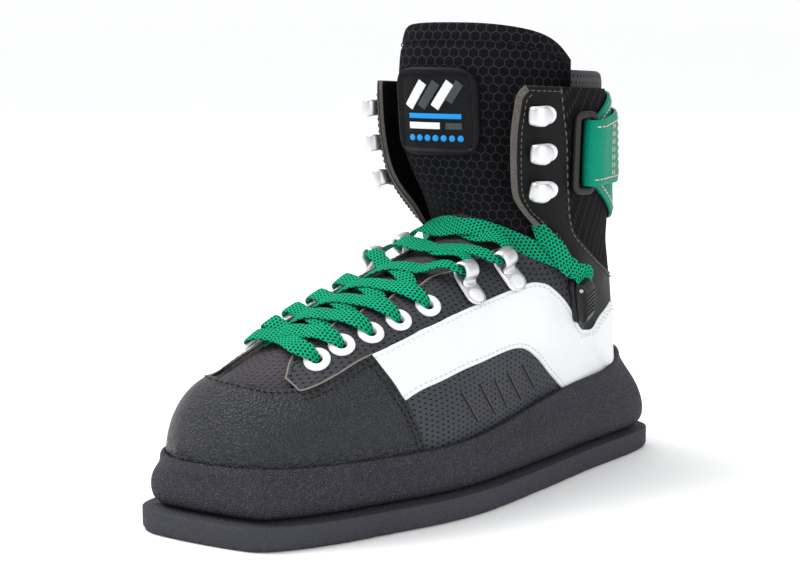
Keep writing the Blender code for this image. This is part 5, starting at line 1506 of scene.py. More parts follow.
# %% Closed lace hooks
# columns: station, height
LACE_HOOKS = ((151.0, 104.5), (124.0, 109.0))
EYE_AT, EYE_RADIUS = (9.0, 5.4), 4.3
HOOK_STEPS, HOOK_ENDS = 46, (0.11, 0.05)
HOOK_WIDTHS = ((0.0, 0.12, 0.3, 0.45, 0.7, 0.9, 1.0), (11.6, 12.2, 11.2, 9.6, 8.8, 8.8, 8.6))
HOOK_THICKS = ((0.0, 0.4, 1.0), (1.7, 2.2, 1.7))
HOOK_ARCH = np.radians((-60, -15, 30, 75, 120, 165, 195))
hook_arch = [(EYE_AT[0] + EYE_RADIUS * math.cos(t), EYE_AT[1] + EYE_RADIUS * math.sin(t)) for t in HOOK_ARCH]
HOOK_PATH = [(-8.5, 0.7), (-4.0, 0.9), (1.0, 0.9), (5.5, 0.9)] + hook_arch + [(3.6, 2.5), (1.2, 1.9)]
hook_places, hook_seats = {}, {}
for number, (station, height) in enumerate(LACE_HOOKS, 1):
    for hand, outside in HANDS:
        inward = -X_AXIS if outside else X_AXIS
        hook_place = seek(station, outside, height=height)
        seat_at = seat(hook_place, inward, LIFT["facing"] + 0.3)
        hook_places[number, outside], hook_seats[number, outside] = hook_place, seat_at
        stamped_hook(f"closed_hook_{hand}_{number}", seat_at, HOOK_PATH, HOOK_STEPS, HOOK_ENDS, HOOK_WIDTHS,
                     HOOK_THICKS, f"lace_hook_{hand}_{number}")
        hook_rivet(f"hook_rivet_{hand}_{number}", seat_at, 1.6)
print("closed hooks:", len(hook_seats))

# %% Open hooks on the cuff
# columns: station, height
CUFF_HOOKS = ((122.5, 191.0), (120.5, 172.5), (118.0, 154.0))
CUFF_HOOK_PATH = ((-7.2, 0.6), (-4.5, 0.9), (-1.0, 0.9), (3.0, 0.9), (6.0, 1.2), (7.6, 2.8), (7.9, 4.8),
                  (6.8, 6.5), (4.2, 7.2), (1.0, 7.0), (-2.4, 5.9))
CUFF_HOOK_STEPS, CUFF_HOOK_ENDS = 44, (0.14, 0.2)
CUFF_HOOK_WIDTHS = ((0.0, 0.2, 0.45, 0.6, 0.8, 1.0), (8.8, 9.4, 8.4, 9.2, 10.2, 9.4))
CUFF_HOOK_THICKS = ((0.0, 0.5, 0.8, 1.0), (1.7, 2.0, 3.0, 2.2))
# the inside's hooks stand further forward, as the cuff is turned outwards
CUFF_HOOK_SHIFT = {True: -5.0, False: 6.0}
for number, (station, height) in enumerate(CUFF_HOOKS, 1):
    for hand, outside in HANDS:
        hook_place = seek(station + CUFF_HOOK_SHIFT[outside], outside, height=height)
        seat_at = seat(hook_place, TOEWARD, LIFT["cuff"] + 0.2)
        stamped_hook(f"open_hook_{hand}_{number}", seat_at, CUFF_HOOK_PATH, CUFF_HOOK_STEPS, CUFF_HOOK_ENDS,
                     CUFF_HOOK_WIDTHS, CUFF_HOOK_THICKS, f"cuff_hook_{hand}_{number}")
        hook_rivet(f"open_hook_rivet_{hand}_{number}", seat_at, 1.4)
print("open hooks:", 2 * len(CUFF_HOOKS))

# %% [markdown]
# ## The ankle strap
# A broad green strap goes round the heel, narrows, turns round a ring on each side and folds back on
# itself, held by hook tape. Flat straps are modelled directly, because a simulation would crumple
# them: one path round the cuff with a height, a width and a distance from the cuff in each row. The
# outside of the leather is green both before and after the fold, and the flap's underside is tape.

# %% Strap
STRAP_THICK = 2.4
# columns: place round the cuff, distance from it, height of the middle, half of the width, slant
STRAP_PATH = (
    (0.0, 1.9, 164.0, 36.0, 0.0), (0.25, 1.9, 164.0, 36.0, 0.0), (0.5, 1.9, 164.3, 35.5, 0.0),
    (0.75, 1.9, 164.8, 34.8, 0.0), (1.0, 1.9, 165.5, 33.5, 0.0), (4 / 3, 1.9, 166.8, 30.0, 0.0),
    (5 / 3, 1.9, 168.5, 24.5, -0.02), (2.0, 1.9, 170.3, 18.0, -0.04), (2.11, 1.9, 171.0, 16.5, -0.05),
    (2.205, 1.9, 171.0, 16.5, -0.05), (2.27, 2.4, 171.0, 16.5, -0.05), (2.303, 3.9, 171.0, 16.5, -0.05),
    (2.31, 5.6, 171.0, 16.5, -0.05), (2.303, 7.2, 171.0, 16.5, -0.05), (2.267, 8.6, 171.0, 16.5, -0.05),
    (2.2, 9.2, 171.0, 16.5, -0.05), (2.11, 8.9, 171.0, 16.6, -0.05), (2.0, 7.7, 171.0, 16.8, -0.05),
    (5 / 3, 5.9, 171.0, 17.6, -0.05), (4 / 3, 5.2, 171.0, 18.4, -0.05), (1.0, 5.0, 171.0, 19.2, -0.07),
    (0.8, 5.0, 171.0, 19.5, -0.09), (0.62, 5.0, 171.0, 19.5, -0.12),
)
FOLD_ROW = 12
CUFF_ROWS = FINE_V >= HEEL_ROW + 1
STRAP_STEPS, STRAP_BREADTH = 150, 23


def off_cuff(u, height, lift, outside=True):
    """Point at a distance from the cuff, at a place round it and a height."""
    u = (u if outside else 8.0 - u) % 8.0
    column, lean_of = skin(np.stack((np.full(CUFF_ROWS.sum(), u), FINE_V[CUFF_ROWS]), axis=1))
    return trace(height, column[:, 2], column) + lift * unit(trace(height, column[:, 2], lean_of))


table = np.array(STRAP_PATH)
path_knots = chord_knots([off_cuff(u, middle, lift) for u, lift, middle, _, _ in table])
samples = np.linspace(0.0, path_knots[-1], STRAP_STEPS)
strap_half = spline(path_knots, table)(samples)
fold_at = path_knots[FOLD_ROW]
rows_across = even_edges(STRAP_BREADTH, 0.25)


def strap_side(outside):
    """Grid of the strap's middle on one side, from the heel to the end of its flap."""
    return np.array([[off_cuff(max(u + slant * row, 0.0), middle + row * half_high, lift, outside)
                      for row in rows_across] for u, lift, middle, half_high, slant in strap_half])


def sheet_lean(grid):
    """Normals of a sheet given as a grid of points."""
    return unit(np.cross(np.gradient(grid, axis=0), np.gradient(grid, axis=1)))


TAPE_FROM = 6.0
strap_halves = {outside: strap_side(outside) for outside in (True, False)}
STRAP = np.concatenate((strap_halves[False][::-1], strap_halves[True][1:]))
points, faces, uv, _ = pillow(STRAP, sheet_lean(STRAP), STRAP_THICK, edge=0.55, power=26.0)
on_flap = samples > fold_at + TAPE_FROM
on_flap = np.concatenate((on_flap[::-1], on_flap[1:]))[:-1]
inner_looks = np.repeat(np.where(on_flap, 1, 0), STRAP_BREADTH - 1)
strap_looks = np.zeros(len(faces), int)
strap_looks[len(inner_looks):2 * len(inner_looks)] = inner_looks
piece("green_strap", points, faces, [LOOK["strap"], LOOK["hook_tape"]], ("ankle_strap",), uv,
      strap_looks)
print("strap:", round(float(chord_knots(STRAP[:, STRAP_BREADTH // 2])[-1])), "mm long")


# %% Strap stitching
WRAP_FACE, FLAP_FACE = -1.0, 1.0
STRAP_EDGE, FLAP_EDGE, FLAP_CORNER = 3.6, 0.80, 0.58
FLAP_ROWS = (0.075, 0.105, 0.20, 0.225)


def sew_strap(outside, shares, row_table, face):
    """Sew along the strap: shares of its half length and a row across for each."""
    half = strap_halves[outside]
    lean_of = sheet_lean(half) if outside else -sheet_lean(half)
    row = np.interp(shares, samples / samples[-1], np.arange(len(samples)))
    column = np.interp(row_table, rows_across, np.arange(STRAP_BREADTH))
    normals = unit(grid_read(lean_of, row, column)) * face
    sew(grid_read(half, row, column) + (STRAP_THICK / 2 + 0.1) * normals, normals, "thread_pink", 2.9, 1.1)


FOLD_SHARE = fold_at / samples[-1]
FLAP_FROM, FLAP_TO = FOLD_SHARE + 0.02, 0.955
for outside in (True, False):
    for row in (-1.0, 1.0):
        share = np.linspace(0.0, FOLD_SHARE - 0.05, 120)
        edge_row = row * (1 - STRAP_EDGE / np.interp(share * samples[-1], samples, strap_half[:, 3]))
        sew_strap(outside, share, edge_row, WRAP_FACE)
        share = np.linspace(FLAP_FROM, FLAP_TO - (0.03 if row > 0 else 0.0), 120)
        sew_strap(outside, share, np.full(120, row * FLAP_EDGE), FLAP_FACE)
    for start, stop, low, high, count in ((0.0, 0.005, -FLAP_EDGE, FLAP_CORNER, 40),
                                          (0.005, 0.03, FLAP_CORNER, FLAP_EDGE, 12)):
        share = np.linspace(FLAP_TO - start, FLAP_TO - stop, count)
        sew_strap(outside, share, np.linspace(low, high, count), FLAP_FACE)
    for back_by in FLAP_ROWS:
        sew_strap(outside, np.full(50, FLAP_TO - back_by), np.linspace(-0.78, 0.78, 50), FLAP_FACE)
print("strap is sewn")

# %% Strap rings
RING_HEIGHT, RING_SHIFT = 171.0, -0.05
RING_FRONT, RING_REAR = 2.49, 2.165
RING_FRONT_LIFT, RING_REAR_LIFT = 0.9, 4.8
RING_LONG, RING_THICK, RING_BAR, RING_REACH, RING_CORNER = 42.0, 3.2, 3.7, 17.0, 3.4


def rounded_box(half_a, half_b, corner, steps):
    """Points round a rectangle with round corners."""
    outline = []
    for quarter, (sign_a, sign_b) in enumerate(((1, 1), (-1, 1), (-1, -1), (1, -1))):
        for t in np.linspace(0.0, math.pi / 2, steps) + quarter * math.pi / 2:
            outline.append((sign_a * (half_a - corner) + corner * math.cos(t),
                            sign_b * (half_b - corner) + corner * math.sin(t)))
    return np.array(outline)


for hand, outside in HANDS:
    corner = {(u, d): off_cuff(u + RING_SHIFT * d, RING_HEIGHT + RING_REACH * d, lift, outside)
              for u, lift in ((RING_FRONT, RING_FRONT_LIFT), (RING_REAR, RING_REAR_LIFT)) for d in (-1, 1)}
    centre = sum(corner.values()) / 4
    front, rear = ((corner[u, -1] + corner[u, 1]) / 2 for u in (RING_FRONT, RING_REAR))
    rise_to = corner[RING_REAR, 1] + corner[RING_FRONT, 1] - 2 * centre
    right = unit(rear - front)
    up = unit(rise_to - right * (rise_to @ right))
    outward = np.cross(right, up)
    if outward[0] * (1 if outside else -1) < 0:
        outward = -outward
    half_wide = np.linalg.norm(rear - front) / 2
    outline = rounded_box(half_wide - RING_BAR / 2, (RING_LONG - RING_BAR) / 2, RING_CORNER, 7)
    line = centre + RING_THICK / 2 * outward + np.outer(outline[:, 0], right) + np.outer(outline[:, 1], up)
    made = ribbon(line, line - line.mean(axis=0), RING_BAR, RING_THICK - 0.2, 14, closed=True, square=3.4)
    add(f"cuff_ring_{hand}", made, "plastic", (f"strap_ring_{hand}",))
print("rings are on")

# %% [markdown]
# ## Pull loop, lace locks and badge
# The pull loop is folded webbing at the back of the heel. Each lock is a black base with two rivets
# and a ribbed lever that clamps the lace. The badge is a moulded rubber plate on the tongue; it carries
# a plain pattern of bars and dots.

# %% Pull loop
LOOP_WIDE, LOOP_THICK, LOOP_BULGE = 14.0, 1.8, 7.0
LOOP_LOW, LOOP_HIGH = 84.0, 112.0
back_line = FINE[CUFF_ROWS, 0]
loop_path = []
for t in np.linspace(0.0, 1.0, 60):
    height = LOOP_LOW + t * (LOOP_HIGH - LOOP_LOW)
    out_y = np.interp(height, back_line[:, 2], back_line[:, 1]) + 1.4
    loop_path.append((0.0, out_y + LOOP_BULGE * math.sin(math.pi * t) ** 0.7, height))
made = ribbon(loop_path, X_AXIS, LOOP_WIDE, LOOP_THICK, 16, square=4.0)
add("heel_loop", made, "webbing", ("pull_loop",))
print("pull loop:", LOOP_WIDE, "mm wide")

# %% Lace locks
LOCK_STATION, LOCK_HEIGHT = 78.0, 96.0
LOCK_UP = unit((0.0, -0.42, 0.9))
LOCK_LONG, LOCK_WIDE, LOCK_THICK = 28.0, 17.0, 2.2
LOCK_RIVETS = ((-7.0, 4.3), (5.0, 4.3))
# columns: distance up the lock, height over its base plate
LEVER_OUTLINE = ((-12.0, 0.4), (0.0, 0.4), (11.0, 0.4), (13.5, 2.4), (13.5, 6.0), (9.5, 8.2), (5.0, 7.7),
                 (0.0, 7.0), (-9.0, 5.6), (-12.0, 3.4))
LEVER_FROM, LEVER_TO = 0.6, 8.2
# columns: inset of the outline, height
PLATE_LAYERS = ((1.2, -1.6), (0.3, -1.2), (0.0, 0.0), (0.0, LOCK_THICK - 0.6), (0.5, LOCK_THICK),
                (1.6, LOCK_THICK))
# columns: distance from the lock's middle line, inset of the outline
LEVER_LAYERS = ((LEVER_FROM, 0.8), (LEVER_FROM + 0.25, 0.25), (LEVER_FROM + 0.8, 0.0),
                (LEVER_TO - 0.8, 0.0), (LEVER_TO - 0.25, 0.25), (LEVER_TO, 0.8))
LEVER_SHRINK = 6.0
RIB_GAP, RIB_WIDE = 2.6, 1.3
PIN = ((0.2, 0.5), (1.0, 0.4), (1.3, 0.0), (1.3, -1.0))
PIN_UP, PIN_OUT = 9.8, 4.6
lock_frames = {}
for hand, outside in HANDS:
    place_at = seek(LOCK_STATION if outside else LOCK_STATION + 8.0, outside, height=LOCK_HEIGHT)
    origin, along, across, normal = seat(place_at, LOCK_UP, LIFT["cuff"] + 1.0)
    rearward = across if across[1] > 0 else -across
    lock_frames[outside] = (origin, along, rearward, normal)
    top = origin + LOCK_THICK * normal
    loops = []
    for inset_by, height in PLATE_LAYERS:
        outline = rounded_box(LOCK_LONG / 2 - inset_by, LOCK_WIDE / 2 - inset_by, 4.0, 6)
        flat = np.outer(outline[:, 0], along) + np.outer(outline[:, 1], rearward)
        loops.append(origin + flat + height * normal)
    add(f"lock_plate_{hand}", rings(loops), "plastic", (f"lock_base_{hand}",))
    studs = [stud(RIVET, top + a * along + b * rearward, along, rearward, normal) for a, b in LOCK_RIVETS]
    add(f"lock_rivets_{hand}", gather(studs), "plastic")
    outline = np.array(LEVER_OUTLINE)
    middle = outline.mean(axis=0)
    loops = []
    for depth, inset_by in LEVER_LAYERS:
        small = middle + (outline - middle) * (1 - inset_by / LEVER_SHRINK)
        flat = np.outer(small[:, 0], along) + np.outer(small[:, 1], normal)
        loops.append(top + flat - depth * rearward)
    parts = [rings(loops)]
    for a in np.arange(-6.0, 8.0, RIB_GAP):
        crest = top + a * along + np.interp(a, (-9.0, 0.0, 9.5), (5.6, 7.0, 8.2)) * normal
        start, stop = crest - (LEVER_FROM + 0.5) * rearward, crest - (LEVER_TO - 0.5) * rearward
        parts.append(ribbon(np.linspace(start, stop, 6), along, RIB_WIDE, RIB_WIDE, 10))
    add(f"lock_clamp_{hand}", gather(parts), "plastic", (f"lock_lever_{hand}",))
    pin_end = top + PIN_UP * along + PIN_OUT * normal - LEVER_TO * rearward
    add(f"lock_pin_{hand}", stud(PIN, pin_end, along, normal, -rearward), "steel")
print("locks are closed")

# %% Badge
BADGE_SIDE, BADGE_HEIGHT = -5.5, 191.0
BADGE_WIDE, BADGE_TALL = 43.5, 45.0
BADGE_GAP, BADGE_FACE, BADGE_RIM = 0.3, 2.2, 3.2
BADGE_CORNER = 0.27
front_rows = TONGUE[TONGUE_ROWS // 2:].reshape(-1, 3)
lean_rows = TONGUE_LEAN[TONGUE_ROWS // 2:].reshape(-1, 3)


def tongue_front(side, height):
    """Point and normal on the front of the tongue at a side and a height."""
    miss = np.hypot(front_rows[:, 0] - side, front_rows[:, 2] - height)
    near = np.argsort(miss)[:9]
    weight = 1 / (miss[near] + 0.15)
    weight = (weight / weight.sum())[:, None]
    point = (front_rows[near] * weight).sum(axis=0)
    return np.array((side, point[1], height)), (lean_rows[near] * weight).sum(axis=0)


BADGE_STEPS = 45
badge_t = even_edges(BADGE_STEPS, 0.55)
badge_sides = BADGE_SIDE + BADGE_WIDE / 2 * badge_t
lean_row = [np.mean([tongue_front(side, BADGE_HEIGHT + h)[1] for h in (-15.0, 0.0, 15.0)], axis=0)
            for side in badge_sides]
lean_row = unit(np.array(lean_row))
front_row = np.array([np.mean([tongue_front(side, BADGE_HEIGHT + h)[0][1] for h in (-6.0, 0.0, 6.0)])
                      for side in badge_sides])
front_row = np.convolve(np.pad(front_row, 4, mode="edge"), np.ones(9) / 9, mode="valid")
above, below = (tongue_front(BADGE_SIDE, BADGE_HEIGHT + h)[0][1] for h in (20, -20))
slope_up = (above - below) / 40


def badge_point(a, b, lift):
    """Point over the badge at -1 to 1 across and up it."""
    normal = unit(trace(a, badge_t, lean_row))
    forward = np.interp(a, badge_t, front_row) + slope_up * BADGE_TALL / 2 * b
    base = np.array((BADGE_SIDE + BADGE_WIDE / 2 * a, forward, BADGE_HEIGHT + BADGE_TALL / 2 * b))
    return base + (BADGE_GAP + lift) * normal, normal


def badge_rounded(a, b):
    """Map the square of -1 to 1 to one with round corners."""
    return a * math.sqrt(1 - BADGE_CORNER * b ** 6), b * math.sqrt(1 - BADGE_CORNER * a ** 6)


# columns: distance in from the edge, height of the face there
BADGE_PROFILE = ((0.0, 1.6), (0.5, 2.6), (1.2, BADGE_RIM), (2.6, BADGE_RIM), (3.4, BADGE_FACE - 0.2),
                 (3.9, BADGE_FACE - 0.2), (4.5, BADGE_FACE), (30.0, BADGE_FACE))
upper_face, lower_face = [], []
for b in badge_t:
    for a in badge_t:
        edge_gap = min(BADGE_WIDE / 2 * (1 - abs(a)), BADGE_TALL / 2 * (1 - abs(b)))
        height = np.interp(edge_gap, *np.array(BADGE_PROFILE).T)
        upper_face.append(badge_point(*badge_rounded(a, b), height)[0])
        lower_face.append(badge_point(*badge_rounded(a, b), 0.0)[0])
piece("badge_plate", np.array(upper_face + lower_face), sheet_faces(BADGE_STEPS, BADGE_STEPS),
      [LOOK["badge"]], ("tongue_badge",))
print("badge:", BADGE_WIDE, "by", BADGE_TALL, "mm")


# %% Pattern of the badge
def badge_bar(start, stop, wide):
    """Raised bar on the badge between two points of -1 to 1."""
    t = np.linspace(0.0, 1.0, 14)
    ab = np.array(start) + t[:, None] * (np.array(stop) - np.array(start))
    line, normals = (np.array(part) for part in zip(*[badge_point(a, b, BADGE_FACE + 0.15) for a, b in ab]))
    return flat_band(line, normals, wide, 1.0, 12, 5.0)


# columns: start across and up, stop across and up, width in millimetres, look
BADGE_BARS = (
    (-0.62, 0.10, -0.24, 0.66, 5.0, "badge_white"), (-0.30, 0.10, 0.08, 0.66, 5.0, "badge_grey"),
    (0.02, 0.10, 0.40, 0.66, 5.0, "badge_white"), (0.34, 0.24, 0.62, 0.66, 5.0, "badge_grey"),
    (-0.62, -0.10, 0.62, -0.10, 2.6, "badge_blue"), (-0.62, -0.32, 0.12, -0.32, 3.4, "badge_white"),
    (0.26, -0.32, 0.62, -0.32, 3.4, "badge_grey"),
)
for number, (a0, b0, a1, b1, wide, look) in enumerate(BADGE_BARS, 1):
    add(f"badge_bar_{number}", badge_bar((a0, b0), (a1, b1), wide), look)
DOT = ((0.2, 0.8), (1.2, 0.75), (1.6, 0.5), (1.7, 0.0))
dots = []
for a in np.linspace(-0.58, 0.58, 7):
    point, normal = badge_point(a, -0.60, BADGE_FACE - 0.2)
    across = unit(np.cross(normal, Z_AXIS))
    dots.append(stud(DOT, point, across, np.cross(normal, across), normal))
add("badge_dots", gather(dots), "badge_blue")
outline = rounded_box(0.838, 0.832, 0.16, 12)
outline = np.vstack((outline, outline[:1]))
line, normals = zip(*[badge_point(*badge_rounded(a, b), BADGE_FACE - 0.1) for a, b in outline])
corners = np.arange(len(outline))
at = np.linspace(0, corners[-1], 400)
sew(trace(at, corners, line), trace(at, corners, normals), "thread_black", long=2.2, gap=0.9, radius=0.3)
print("badge is sewn on")

# %% [markdown]
# ## The lace
# One flat braided lace starts as a bar at the toe, crosses up through the eyelets, turns through the
# closed hooks and ends in the locks. It is held all along, so it is laid from given points and not simulated:
# each stretch is a smooth curve through points over the skin. Going over, it dives into the next
# eyelet; coming back, it leaves from under the edge of the throat.

# %% Lace
LACE_WIDE, LACE_THICK, EYE_WIDE, LACE_STEP = 9.4, 1.5, 5.2, 1.1
# columns: distance before the eyelet, height over it, turn from flat (0) to on edge (1), width
DIVE = ((11.5, 2.3, 0.0, LACE_WIDE), (6.0, 2.9, 0.0, 8.6), (2.2, 2.1, 0.5, 6.4), (0.2, -2.4, 1.0, 4.6))
# columns: distance ahead of the hook's eye, along the hook and up from it, width
THROUGH = ((6.5, 6.0, -1.2, 6.6), (3.0, 0.9, 0.0, EYE_WIDE), (-3.0, 0.9, 0.0, EYE_WIDE),
           (-6.5, 6.5, -1.2, 6.6))
# columns: distance up the lock, to its rear and out from it, width
INTO_LOCK = ((16.0, -4.5, 4.6, 8.2), (8.0, -4.5, 4.8, 6.8))
OUT_OF_LOCK = ((7.0, 3.2, 3.4, 7.2), (13.0, 2.4, 5.2, 8.4))
lace_parts, lace_long = [], []


def on_skin(place_at, lift, wide=LACE_WIDE):
    """Point, normal and width of the lace over a place."""
    point, normal = (row[0] for row in skin([place_at], lift))
    return point, normal, wide


def band(controls):
    """Lay the lace through controls of (point, normal, width)."""
    points, normals, widths = (np.array(part) for part in zip(*controls))
    knots = chord_knots(points)
    at = np.linspace(0.0, knots[-1], max(int(knots[-1] / LACE_STEP), 10))
    line = spline(knots, points)(at)
    wide = np.interp(at, knots, widths)
    lace_parts.append(flat_band(line, unit(trace(at, knots, normals)), wide, LACE_THICK, 14, 3.4))
    lace_long.append(chord_knots(line)[-1])


def dive(number, outside, from_point):
    """Controls that take the lace over an eyelet's rim and down its hole."""
    place_at = eyelet_places[number, outside]
    hole, normal, _ = on_skin(place_at, facing_top(place_at))
    toward = hole - from_point
    toward = unit(toward - normal * (toward @ normal))
    return [(hole - back_by * toward + lift * normal, unit((1 - turn) * normal + turn * toward), wide)
            for back_by, lift, turn, wide in DIVE]


def throat_place(station, outside):
    """Place on the edge of the throat at a station."""
    half = np.interp(station, *np.array(THROAT)[::-1].T)
    return seek(station, outside, side=throat_middle(station) + (half if outside else -half))


def between(start, stop, rows):
    """Controls between two places; rows hold the share of the way, the lift and the width."""
    start, stop = np.array(start), np.array(stop)
    return [on_skin(start + share * (stop - start), lift, wide) for share, lift, wide in rows]


def leave(start, stop, over):
    """Controls from under the throat's edge to past the middle; over is the lift at the crossing."""
    return between(start, stop, ((-0.02, -1.8, 7.6), (0.06, -1.0, 8.6), (0.20, 0.4 + 0.3 * over, LACE_WIDE),
                                 (0.42, over, LACE_WIDE), (0.58, over, LACE_WIDE)))


def off_point(origin, axes, rows):
    """Controls off a point; rows hold the distances along three axes and the width."""
    return [(origin + np.array(row[:3]) @ np.array(axes), axes[2], row[3]) for row in rows]


def through(number, outside):
    """Controls through a closed hook, from its toe side to its heel side."""
    origin, along, across, normal = hook_seats[number, outside]
    ahead = across if across @ TOEWARD > 0 else -across
    centre = origin + EYE_AT[0] * along + EYE_AT[1] * normal
    return off_point(centre, (ahead, along, normal), THROUGH)


print("the lace is", LACE_WIDE, "mm wide")

# %% Laying the lace
UNDER, OVER = 0.3, 2.0
LANDING = (104.0, 121.0)
bar_ends = {outside: on_skin(eyelet_places[1, outside], 2.0)[0] for outside in (True, False)}
bar = dive(1, False, bar_ends[True])[::-1]
bar += between(eyelet_places[1, False], eyelet_places[1, True], ((0.5, 1.3, LACE_WIDE),))
band(bar + dive(1, True, bar_ends[False]))
for outside in (True, False):
    over = UNDER if outside else OVER
    for number in range(1, len(EYELETS)):
        start, stop = throat_place(EYELETS[number - 1][0], outside), eyelet_places[number + 1, not outside]
        first_part = leave(start, stop, over)
        band(first_part + dive(number + 1, not outside, first_part[-1][0]))
    start = throat_place(EYELETS[-1][0], outside)
    path = leave(start, hook_places[1, not outside], over) + through(1, not outside)
    rise = 1.6 - 0.6 * over
    path += between(hook_places[1, not outside], hook_places[2, outside],
                    ((0.42, rise, LACE_WIDE), (0.56, rise, LACE_WIDE)))
    path += through(2, outside)
    landing = seek(LANDING[0], not outside, height=LANDING[1])
    rise = 0.3 + 0.7 * over
    path += between(hook_places[2, outside], landing,
                    ((0.36, rise, LACE_WIDE), (0.52, rise, LACE_WIDE), (0.74, 1.6, LACE_WIDE)))
    path.append(on_skin(landing, 2.6, LACE_WIDE))
    origin, *axes = lock_frames[not outside]
    band(path + off_point(origin, axes, INTO_LOCK))
# columns: station, height, lift, width of the free end from the lock to the cuff's front edge
FREE_END = ((91.0, 112.0, 6.2, 9.0), (97.0, 121.0, 5.0, 9.4), (103.5, 129.5, 3.0, 9.4),
            (107.5, 133.0, 0.2, 8.6), (109.5, 133.5, -3.2, 7.6))
origin, *axes = lock_frames[True]
path = off_point(origin, axes, OUT_OF_LOCK)
path += [on_skin(seek(station, True, height=height), lift, wide) for station, height, lift, wide in FREE_END]
band(path)
add("green_lace", gather(lace_parts), "lace", ("lace",))
print("lace:", round(sum(lace_long)), "mm in sight,", len(lace_parts), "stretches")

# %% [markdown]
# ## Sewing the upper
# Rows of thread run beside the edges of the panels: double black rows on the cap, white rows on the
# white panels and a heavy grey row on the cuff's seam. They follow the same lines as the panels, moved
# aside by a couple of millimetres, so a changed edge takes its stitches along.

# %% Stitches
EDGE, SECOND_ROW = 2.2, -4.4
CUFF_TOP = ((3.05, 20.98), (2.85, 20.98), (2.62, 20.98))
# columns: line, distance aside, panel, colour (None: that of the facing)
SEWN = (
    (CAP_BACK, -1.9, "cap", "thread_black"), (CAP_BACK, SECOND_ROW, "cap", "thread_black"),
    (CAP_TOP, -EDGE, "cap", "thread_black"), (FACING_LOW, -2.0, "cap", "thread_black"),
    (FACING_LOW, SECOND_ROW, "cap", "thread_black"), (THROAT_EDGE, -EDGE, "facing", None),
    (VAMP_END, -EDGE, "facing", None), (WHITE_TOP, EDGE, "white", "thread_white"),
    (WHITE_LOW, EDGE, "white", "thread_white"), (WHITE_TOP[:8], 2 * EDGE, "white", "thread_white"),
    (CUFF_FRONT, FELT_WIDE + EDGE, "cuff", "thread_grey"), (CUFF_TOP, -EDGE, "cuff", "thread_grey"),
)
for hand, outside in HANDS:
    for line, aside, under, colour in SEWN:
        moved = sided(shift(run(line), aside), outside)
        colour = colour or ("thread_black" if outside else "thread_white")
        sew(*skin(moved, LIFT[under] + 0.12), colour, long=2.2, gap=1.0, radius=0.3)
    moved = sided(shift(run(SEAM), -1.8), outside)
    sew(*skin(moved, LIFT["cuff"] + 0.15), "thread_grey", long=2.8, gap=1.5, radius=0.45)
band_row = int(np.argmin(np.abs(band_gap - BAND_DOWN)))
for row in (band_row, vamp_row - 2):
    sew(TONGUE[row, 3:-3] + 0.1 * TONGUE_LEAN[row, 3:-3], TONGUE_LEAN[row, 3:-3], "thread_black")
for colour, parts in THREADS.items():
    add(f"stitches_{colour.removeprefix('thread_')}", gather(parts), colour)
print("stitches:", {colour: len(parts) for colour, parts in THREADS.items()})

# %% Dashes on the quarter
# columns: place of the upper end, place of the lower end
DASHES = ((1.95, 8.35, 1.263, 8.72), (1.938, 8.83, 1.275, 9.15), (1.888, 9.22, 1.263, 9.45),
          (1.90, 9.55, 1.275, 9.80), (1.925, 9.93, 1.375, 10.15))
DASH_THICK = 0.4
dark, pale = [], []
for u0, v0, u1, v1 in DASHES:
    line = run(((u0, v0), (u1, v1)))
    for outside in (True, False):
        for parts, aside, wide in ((dark, 0.0, 1.4), (pale, 0.95, 0.5), (pale, -0.95, 0.35)):
            points, normals = skin(sided(shift(line, aside), outside), LIFT["quarter"] + 0.1)
            parts.append(flat_band(points, normals, wide, DASH_THICK, 10))
add("quarter_dashes", gather(dark), "thread_black")
add("quarter_dash_edges", gather(pale), "raw")
print("dashes:", len(dark))

# %% [markdown]
# ## The stage
# The shoe stands on a pale floor under a broad soft sun and four lamps, as in a product studio. The
# camera looks at the outside of the toe from a little above the floor, with a long lens so that the
# sole stays flat.

# %% Camera
CAMERA_AT = np.array((580.76, -555.02, 238.94)) - CENTRE
TURN, TILT = math.radians(47.0), math.radians(9.5)
LENS, SENSOR = 72.0, 36.0
back = np.array((math.sin(TURN) * math.cos(TILT), -math.cos(TURN) * math.cos(TILT), math.sin(TILT)))
camera_data = bpy.data.cameras.new("camera")
camera_data.lens = LENS
camera_data.sensor_width = SENSOR
camera_data.sensor_fit = "HORIZONTAL"
camera_data.dof.use_dof = False
bpy.context.scene.camera = show("camera", camera_data, CAMERA_AT * MM, -back)
print("camera lens:", LENS, "mm")

# %% Lights
AIM = Vector((0.0, 0.0, 0.09))
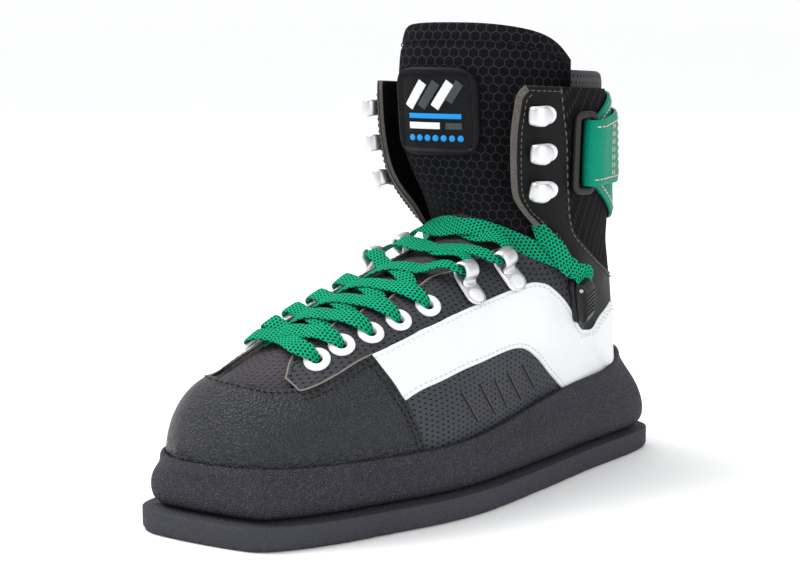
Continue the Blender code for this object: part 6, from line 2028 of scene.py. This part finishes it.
# columns: name, place in metres, width, height, power in watts
LAMPS = (
    ("key", (-0.70, -0.60, 1.25), 0.5, 0.5, 9.0),
    ("side", (1.25, -0.35, 0.75), 0.9, 1.1, 7.0),
    ("top", (0.1, 0.15, 1.5), 1.3, 1.3, 4.0),
    ("rear", (-0.7, 1.1, 0.9), 0.9, 0.9, 2.8),
)
for name, spot_at, wide, tall, power in LAMPS:
    lamp = bpy.data.lights.new(name, "AREA")
    lamp.shape = "RECTANGLE"
    lamp.size, lamp.size_y, lamp.energy = wide, tall, power
    show(name, lamp, spot_at, AIM - Vector(spot_at))
SUN_POWER, SUN_BREADTH, SUN_ALONG = 1.9, math.radians(50.0), (0.50, 0.28, -0.81)
sun = bpy.data.lights.new("sun", "SUN")
sun.energy, sun.angle = SUN_POWER, SUN_BREADTH
show("sun", sun, looking=SUN_ALONG)
# the sky is white at the horizon and greyer overhead, where the lamps make the highlights
SKY_COLOUR, SKY_FROM, SKY_TO, SKY_OVERHEAD = (0.985, 0.99, 1.0), 0.05, 0.40, 0.5
world = bpy.data.worlds.new("studio")
world.use_nodes = True
sky = world.node_tree
sky.nodes["Background"].inputs["Color"].default_value = (*SKY_COLOUR, 1.0)
direction = node(sky, "ShaderNodeTexCoord").outputs["Generated"]
upward = node(sky, "ShaderNodeSeparateXYZ", ((0, direction),)).outputs["Z"]
limits = (("From Min", SKY_FROM), ("From Max", SKY_TO), ("To Min", 1.0), ("To Max", SKY_OVERHEAD))
strength = node(sky, "ShaderNodeMapRange", (("Value", upward), *limits)).outputs["Result"]
sky.links.new(strength, sky.nodes["Background"].inputs["Strength"])
bpy.context.scene.world = world
# the plain tone curve keeps white leather white and black leather black
bpy.context.scene.view_settings.view_transform = "Standard"
print("lamps:", len(LAMPS), "and a sun")

# %% Floor
FLOOR_HALF, FLOOR_DOWN = 30.0, 0.0004
floor_mesh = bpy.data.meshes.new("floor")
floor_mesh.from_pydata([(FLOOR_HALF * a, FLOOR_HALF * b, 0) for a, b in ((-1, -1), (1, -1), (1, 1), (-1, 1))],
                       [], [(0, 1, 2, 3)])
floor_mesh.materials.append(base_look("studio_floor", (0.985, 0.988, 0.99), 0.7, specular=0.1)[0])
floor = show("floor", floor_mesh, (0.0, 0.0, -FLOOR_DOWN))
print("floor is laid")
